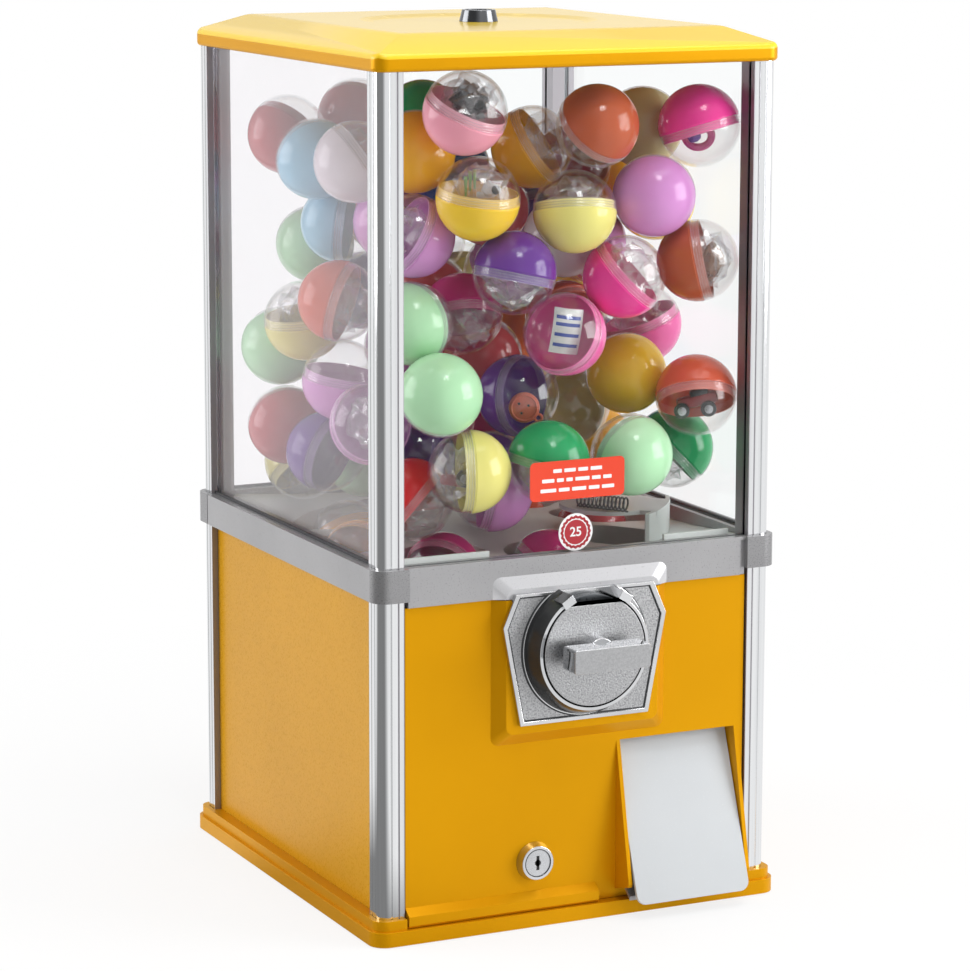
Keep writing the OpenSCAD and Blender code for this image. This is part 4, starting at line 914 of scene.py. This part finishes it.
# painted highlight: a white layer on the collar ribs
ribHighlight = clearSheet("ribHighlight", (0.95, 0.95, 0.96), 0.08, 0.10, hazeAndSheen=0.22)
filmClear = clearSheet("filmClear", (0.95, 0.955, 0.96), 0.10, 0.10, hazeAndSheen=0.09)

# what the capsules hold: colour, and 1 where it is metal
toyPaints = {
    "toyCoral": ((0.80, 0.17, 0.10), 0), "toyDark": ((0.025, 0.027, 0.03), 0),
    "toySilver": ((0.62, 0.63, 0.66), 1), "toyWhite": ((0.80, 0.80, 0.78), 0),
    "toyBlue": ((0.06, 0.10, 0.42), 0), "toyBrown": ((0.42, 0.20, 0.08), 0),
    "toyPink": ((0.72, 0.04, 0.28), 0), "toyGreen": ((0.22, 0.52, 0.08), 0),
    "toyViolet": ((0.16, 0.05, 0.36), 0), "toyRed": ((0.36, 0.05, 0.05), 0),
}
toyIndex = {name: index for index, name in enumerate(toyPaints)}
toyMaterials = [surface(name, [tuple(c * 0.85 for c in colour), colour], (0.25, 0.35), metal,
                        grain=900, bump=0.05, cloud=120, edge=0)
                for name, (colour, metal) in toyPaints.items()]


def painted(bm, paint):
    for face in bm.faces:
        face.material_index = toyIndex[paint]
    return bm


def roundBlock(size, soft, paint):
    bm = bmesh.new()
    bmesh.ops.create_cube(bm, size=1)
    bmesh.ops.scale(bm, vec=size, verts=bm.verts)
    roundEdges(bm, bm.edges[:], soft, 2)
    return painted(bm, paint)


def rod(radius, height, paint, tip=None, soft=0.0, sides=20):
    bm = bmesh.new()
    bmesh.ops.create_cone(bm, cap_ends=True, segments=sides, radius1=radius,
                          radius2=radius if tip is None else tip, depth=height)
    if soft:
        rims = [e for e in bm.edges if e.is_manifold and e.calc_face_angle(0) > 1.0]
        roundEdges(bm, rims, soft, 2)
    return painted(bm, paint)


def hoop(radius, thick, paint, sides=28):
    bm = bmesh.new()
    bmesh.ops.create_circle(bm, segments=8, radius=thick)
    upright = Matrix.Rotation(math.radians(90), 3, "X")
    bmesh.ops.rotate(bm, verts=bm.verts, cent=(0, 0, 0), matrix=upright)
    bmesh.ops.translate(bm, verts=bm.verts, vec=(radius, 0, 0))
    spin(bm, bm.verts[:] + bm.edges[:], sides, 1e-4)
    bmesh.ops.recalc_face_normals(bm, faces=bm.faces)
    return painted(bm, paint)


# crumpled foil or film, and with few folds a rough lump
def crumple(seed, radius, folding, paint=None, detail=3, squash=(1, 1, 0.8)):
    bm = bmesh.new()
    bmesh.ops.create_icosphere(bm, subdivisions=detail, radius=radius)
    away = Vector((seed * 7.3, seed * 3.1, 0))      # each seed folds in its own way
    for v in bm.verts:
        push = folds.noise_vector(v.co * (folding / radius) + away)
        v.co = v.co + push * radius * 0.55
    bmesh.ops.scale(bm, vec=squash, verts=bm.verts)
    return painted(bm, paint) if paint else bm


def put(bm, shape, spot=(0, 0, 0), turn=(0, 0, 0)):
    leanX, leanY, leanZ = (Matrix.Rotation(math.radians(turn[i]), 4, "XYZ"[i]) for i in range(3))
    addTo(bm, shape, Matrix.Translation(spot) @ leanZ @ leanY @ leanX)
    shape.free()


stripPlan = {"wide": 17, "tall": 26, "thick": 0.4, "stripes": (-4, -1, 2, 4), "stripeHalf": 7,
             "curlX": 0.035, "curlY": 0.012}


# curled sheet with plain stripes across it
def stripedStrip():
    sheet = bmesh.new()
    bmesh.ops.create_grid(sheet, x_segments=12, y_segments=13, size=0.5)
    bmesh.ops.scale(sheet, vec=(stripPlan["wide"], stripPlan["tall"], 1), verts=sheet.verts)
    thicken(sheet, stripPlan["thick"])
    painted(sheet, "toyWhite")
    for face in sheet.faces:
        centre = face.calc_center_median()
        if round(centre.y / 2) in stripPlan["stripes"] and abs(centre.x) < stripPlan["stripeHalf"]:
            face.material_index = toyIndex["toyBlue"]
    for v in sheet.verts:
        v.co.z -= stripPlan["curlX"] * v.co.x ** 2 + stripPlan["curlY"] * v.co.y ** 2
    return sheet


# x to the right, y up, z towards the window, in millimetres until placed
def makeToy(kind, seed):
    bm = bmesh.new()
    if kind == "foil":
        put(bm, crumple(seed, 9.5, 3.4, "toySilver"), (1, 2, 0))
        put(bm, crumple(seed + 5, 6.5, 3.8, "toyDark"), (4, 0, 6))
        put(bm, crumple(seed + 9, 5.5, 3.8, "toyDark"), (-4, 3, 6))
    elif kind == "sprig":
        for spot, lean in (((-5, 5, 4), 14), ((-2.5, 6, 4), -6), ((-7.5, 2, 5), 34)):
            put(bm, rod(1.1, 11, "toyGreen", 0.6, 0.0, 10), spot, (90, lean, 0))
        put(bm, crumple(seed, 4.6, 2.6, "toyWhite", 2), (6, 0, 5))
        put(bm, rod(2.6, 2.4, "toyDark", None, 0.5), (9.5, 0.5, 8.4))
        put(bm, roundBlock((9, 3, 5), 0.8, "toyWhite"), (3, -2.5, 5))
    elif kind == "ring":
        put(bm, hoop(7.5, 2.3, "toyPink"), (-2, -1, 0), (28, 0, 0))
        put(bm, crumple(seed, 4.2, 0.6, "toyViolet", 2), (-5, 0.5, 5))
    elif kind == "lump":
        put(bm, crumple(seed, 8.5, 1.9, "toyBrown", 3, (0.85, 1.1, 0.9)), (2, -2, 2))
    elif kind == "strip":
        put(bm, stripedStrip(), (4, 1, 8), (0, 12, -8))
    elif kind == "wheel":
        put(bm, rod(5.2, 4.2, "toyDark", None, 1.1, 28), (3, -2.5, 7))
        put(bm, rod(2.9, 4.8, "toySilver", None, 0.5, 20), (3, -2.5, 7))
        put(bm, roundBlock((16, 6, 7), 1.6, "toyRed"), (-3, -5, 0), (0, 0, -8))
    elif kind == "car":
        put(bm, roundBlock((24, 7, 9), 2.2, "toyRed"), (0, 2.5, 2), (0, 0, 14))
        put(bm, roundBlock((11, 5, 8), 2.0, "toyDark"), (1, 7, 2), (0, 0, 14))
        for spot in ((-9, -3, 7.5), (6.5, -1.5, 8)):
            put(bm, rod(4.6, 3.6, "toyDark", None, 0.9, 28), spot)
            put(bm, rod(2.6, 4.2, "toySilver", None, 0.4, 20), spot)
    elif kind == "charm":
        put(bm, rod(9.0, 3.6, "toyCoral", None, 1.3, 36), (-1, -6, 5))
        put(bm, hoop(7.4, 0.5, "toyCoral"), (-1, -6, 6.9))
        for x, y in ((-4, -3.5), (1.5, -4.5), (-2.5, -9)):
            put(bm, rod(0.75, 0.6, "toyDark", None, 0.0, 12), (x, y, 6.9))
        put(bm, hoop(2.1, 0.8, "toyCoral", 20), (7.2, -12, 5))
    return bm


filmed = ("film", "lump", "sprig", "wheel", "foil")      # contents wrapped in clear film


def makeCapsules():
    toView = Matrix((viewRight, (0, 0, 1), viewBack)).transposed().to_4x4()
    sizes = {"root": 1.0, "wheel": capsule["pocketScale"]}
    halves = {body: (colouredHalf(k), clearHalf(k)) for body, k in sizes.items()}
    shells, clears = {}, {"root": bmesh.new(), "wheel": bmesh.new()}
    toys, films = bmesh.new(), bmesh.new()
    plan = capsulePlan()
    for index, (body, centre, colour, aim, held) in enumerate(plan):
        place = Matrix.Translation(centre) @ aim.to_track_quat("Z", "Y").to_matrix().to_4x4()
        half, dome = halves[body]
        addTo(shells.setdefault((body, colour), bmesh.new()), half, place)
        addTo(clears[body], dome, place)
        if held and held != "film":
            toy = makeToy(held, index)
            for v in toy.verts:
                v.co = v.co * mm
            addTo(toys, toy, Matrix.Translation(centre + aim * capsule["toyUp"]) @ toView)
            toy.free()
        if held in filmed:
            sheet = crumple(index, capsule["filmRadius"], capsule["filmFolds"], None, 3,
                            (1, 1, 0.85))
            addTo(films, sheet, place @ up(capsule["filmUp"]))
            sheet.free()
    shades = {}
    for body, colour in sorted(shells):
        if colour not in shades:
            shades[colour] = capsuleShades(colour)
        name = ("capsules" if body == "root" else "pocketCapsules") + titled(colour)
        makePiece(name, shells[body, colour], shades[colour], body)
    for body, name, node in (("root", "clearHalves", "capsules"),
                             ("wheel", "pocketClearHalves", "pocket_capsules")):
        makePiece(name, clears[body], [shellClear, collarHaze, ribHighlight], body,
                  [node])
    makePiece("capsuleToys", toys, toyMaterials, "root", smoothAngle=40)
    makePiece("capsuleFilms", films, [filmClear], "root", smoothAngle=18)
    print("capsules made:", len(plan))


makeCapsules()


# light and floor: place, size and power of each lamp; one side of the room is dim in mirrors
lampPlan = {
    "rightSoft": ((1.8, -1.4, 0.75), 1.4, 37),
    "leftSoft": ((-1.8, 1.0, 0.75), 1.4, 23),
    "topSoft": ((0.15, -0.25, 2.1), 1.6, 20),
    "sparkle": ((-0.1, -1.15, 1.9), 0.45, 6),
}
room = {"ambient": 0.40, "darkTo": (-0.92, -0.39, 0.0), "darkLevel": 0.24, "darkFrom": 0.52,
        "darkFull": 0.86, "aimAt": (0, 0, 0.25)}
floorPlan = {"radius": 9.0, "below": 0.5 * mm, "colour": (0.9, 0.9, 0.9), "near": 0.2,
             "far": 0.7, "nearWhite": 0.80, "mirrorWhite": 0.95}


def makeLamps():
    for name, (spot, size, power) in lampPlan.items():
        lamp = bpy.data.objects.new(name, bpy.data.lights.new(name, "AREA"))
        scene.collection.objects.link(lamp)
        lamp.data.size, lamp.data.energy = size, power
        lamp.location = spot
        back = Vector(spot) - Vector(room["aimAt"])
        lamp.rotation_euler = back.to_track_quat("Z", "Y").to_euler()


# what the camera sees, straight on or through clear parts
def seenRays(tree, rays):
    seen = addNode(tree, "Math", operation="MAXIMUM")
    link(tree, rays.outputs["Is Camera Ray"], seen.inputs[0])
    link(tree, rays.outputs["Is Transmission Ray"], seen.inputs[1])
    return seen.outputs[0]


# brightness that falls towards the dim side
def dimSide(tree, direction, bright):
    dot = addNode(tree, "VectorMath", operation="DOT_PRODUCT")
    dot.inputs[1].default_value = room["darkTo"]
    link(tree, direction, dot.inputs[0])
    return ramp(tree, dot.outputs["Value"], room["darkFrom"], room["darkFull"], bright,
                room["darkLevel"])


# white where it is seen, with one dim side that gives metal its dark lines
def makeWorld():
    world = bpy.data.worlds.new("studio")
    scene.world = world
    world.use_nodes = True
    tree = world.node_tree
    tree.nodes.clear()
    out = addNode(tree, "OutputWorld")
    rays = addNode(tree, "LightPath")
    side = addNode(tree, "TexCoord")
    ambient = addNode(tree, "Background", Strength=room["ambient"], Color=(1, 1, 1, 1))
    white = addNode(tree, "Background", Strength=1.0, Color=(1, 1, 1, 1))
    mirrored = addNode(tree, "Background")
    link(tree, dimSide(tree, side.outputs["Generated"], 1.0), mirrored.inputs["Strength"])
    unseen = mixShaders(tree, rays.outputs["Is Glossy Ray"], ambient, mirrored)
    sky = mixShaders(tree, seenRays(tree, rays), unseen, white)
    link(tree, sky.outputs[0], out.inputs["Surface"])


# white floor that keeps the machine's shadow
def makeFloor():
    bm = bmesh.new()
    bmesh.ops.create_circle(bm, cap_ends=True, segments=64, radius=floorPlan["radius"])
    bmesh.ops.translate(bm, verts=bm.verts, vec=(0, 0, -floorPlan["below"]))
    mesh = bpy.data.meshes.new("floor")
    bm.to_mesh(mesh)
    bm.free()
    floor = bpy.data.objects.new("floor", mesh)
    scene.collection.objects.link(floor)
    material, tree = freshMaterial("paleFloor")
    out = addNode(tree, "OutputMaterial")
    rays = addNode(tree, "LightPath")
    place = addNode(tree, "TexCoord")
    diffuse = addNode(tree, "BsdfDiffuse", Color=(*floorPlan["colour"], 1))
    white = addNode(tree, "Emission", Strength=1.0, Color=(1, 1, 1, 1))
    away = addNode(tree, "VectorMath", operation="LENGTH")
    link(tree, place.outputs["Object"], away.inputs[0])
    fade = ramp(tree, away.outputs["Value"], floorPlan["near"], floorPlan["far"],
                floorPlan["nearWhite"], 1.0)
    share = addNode(tree, "Math", operation="MULTIPLY")
    link(tree, seenRays(tree, rays), share.inputs[0])
    link(tree, fade, share.inputs[1])
    shown = mixShaders(tree, share.outputs[0], diffuse, white)
    aim = addNode(tree, "VectorMath", operation="NORMALIZE")
    link(tree, place.outputs["Object"], aim.inputs[0])
    mirrored = addNode(tree, "Emission", Color=(1, 1, 1, 1))
    link(tree, dimSide(tree, aim.outputs["Vector"], floorPlan["mirrorWhite"]),
         mirrored.inputs["Strength"])
    last = mixShaders(tree, rays.outputs["Is Glossy Ray"], shown, mirrored)
    link(tree, last.outputs[0], out.inputs["Surface"])
    mesh.materials.append(material)


makeLamps()
makeWorld()
makeFloor()
print("light and floor made")
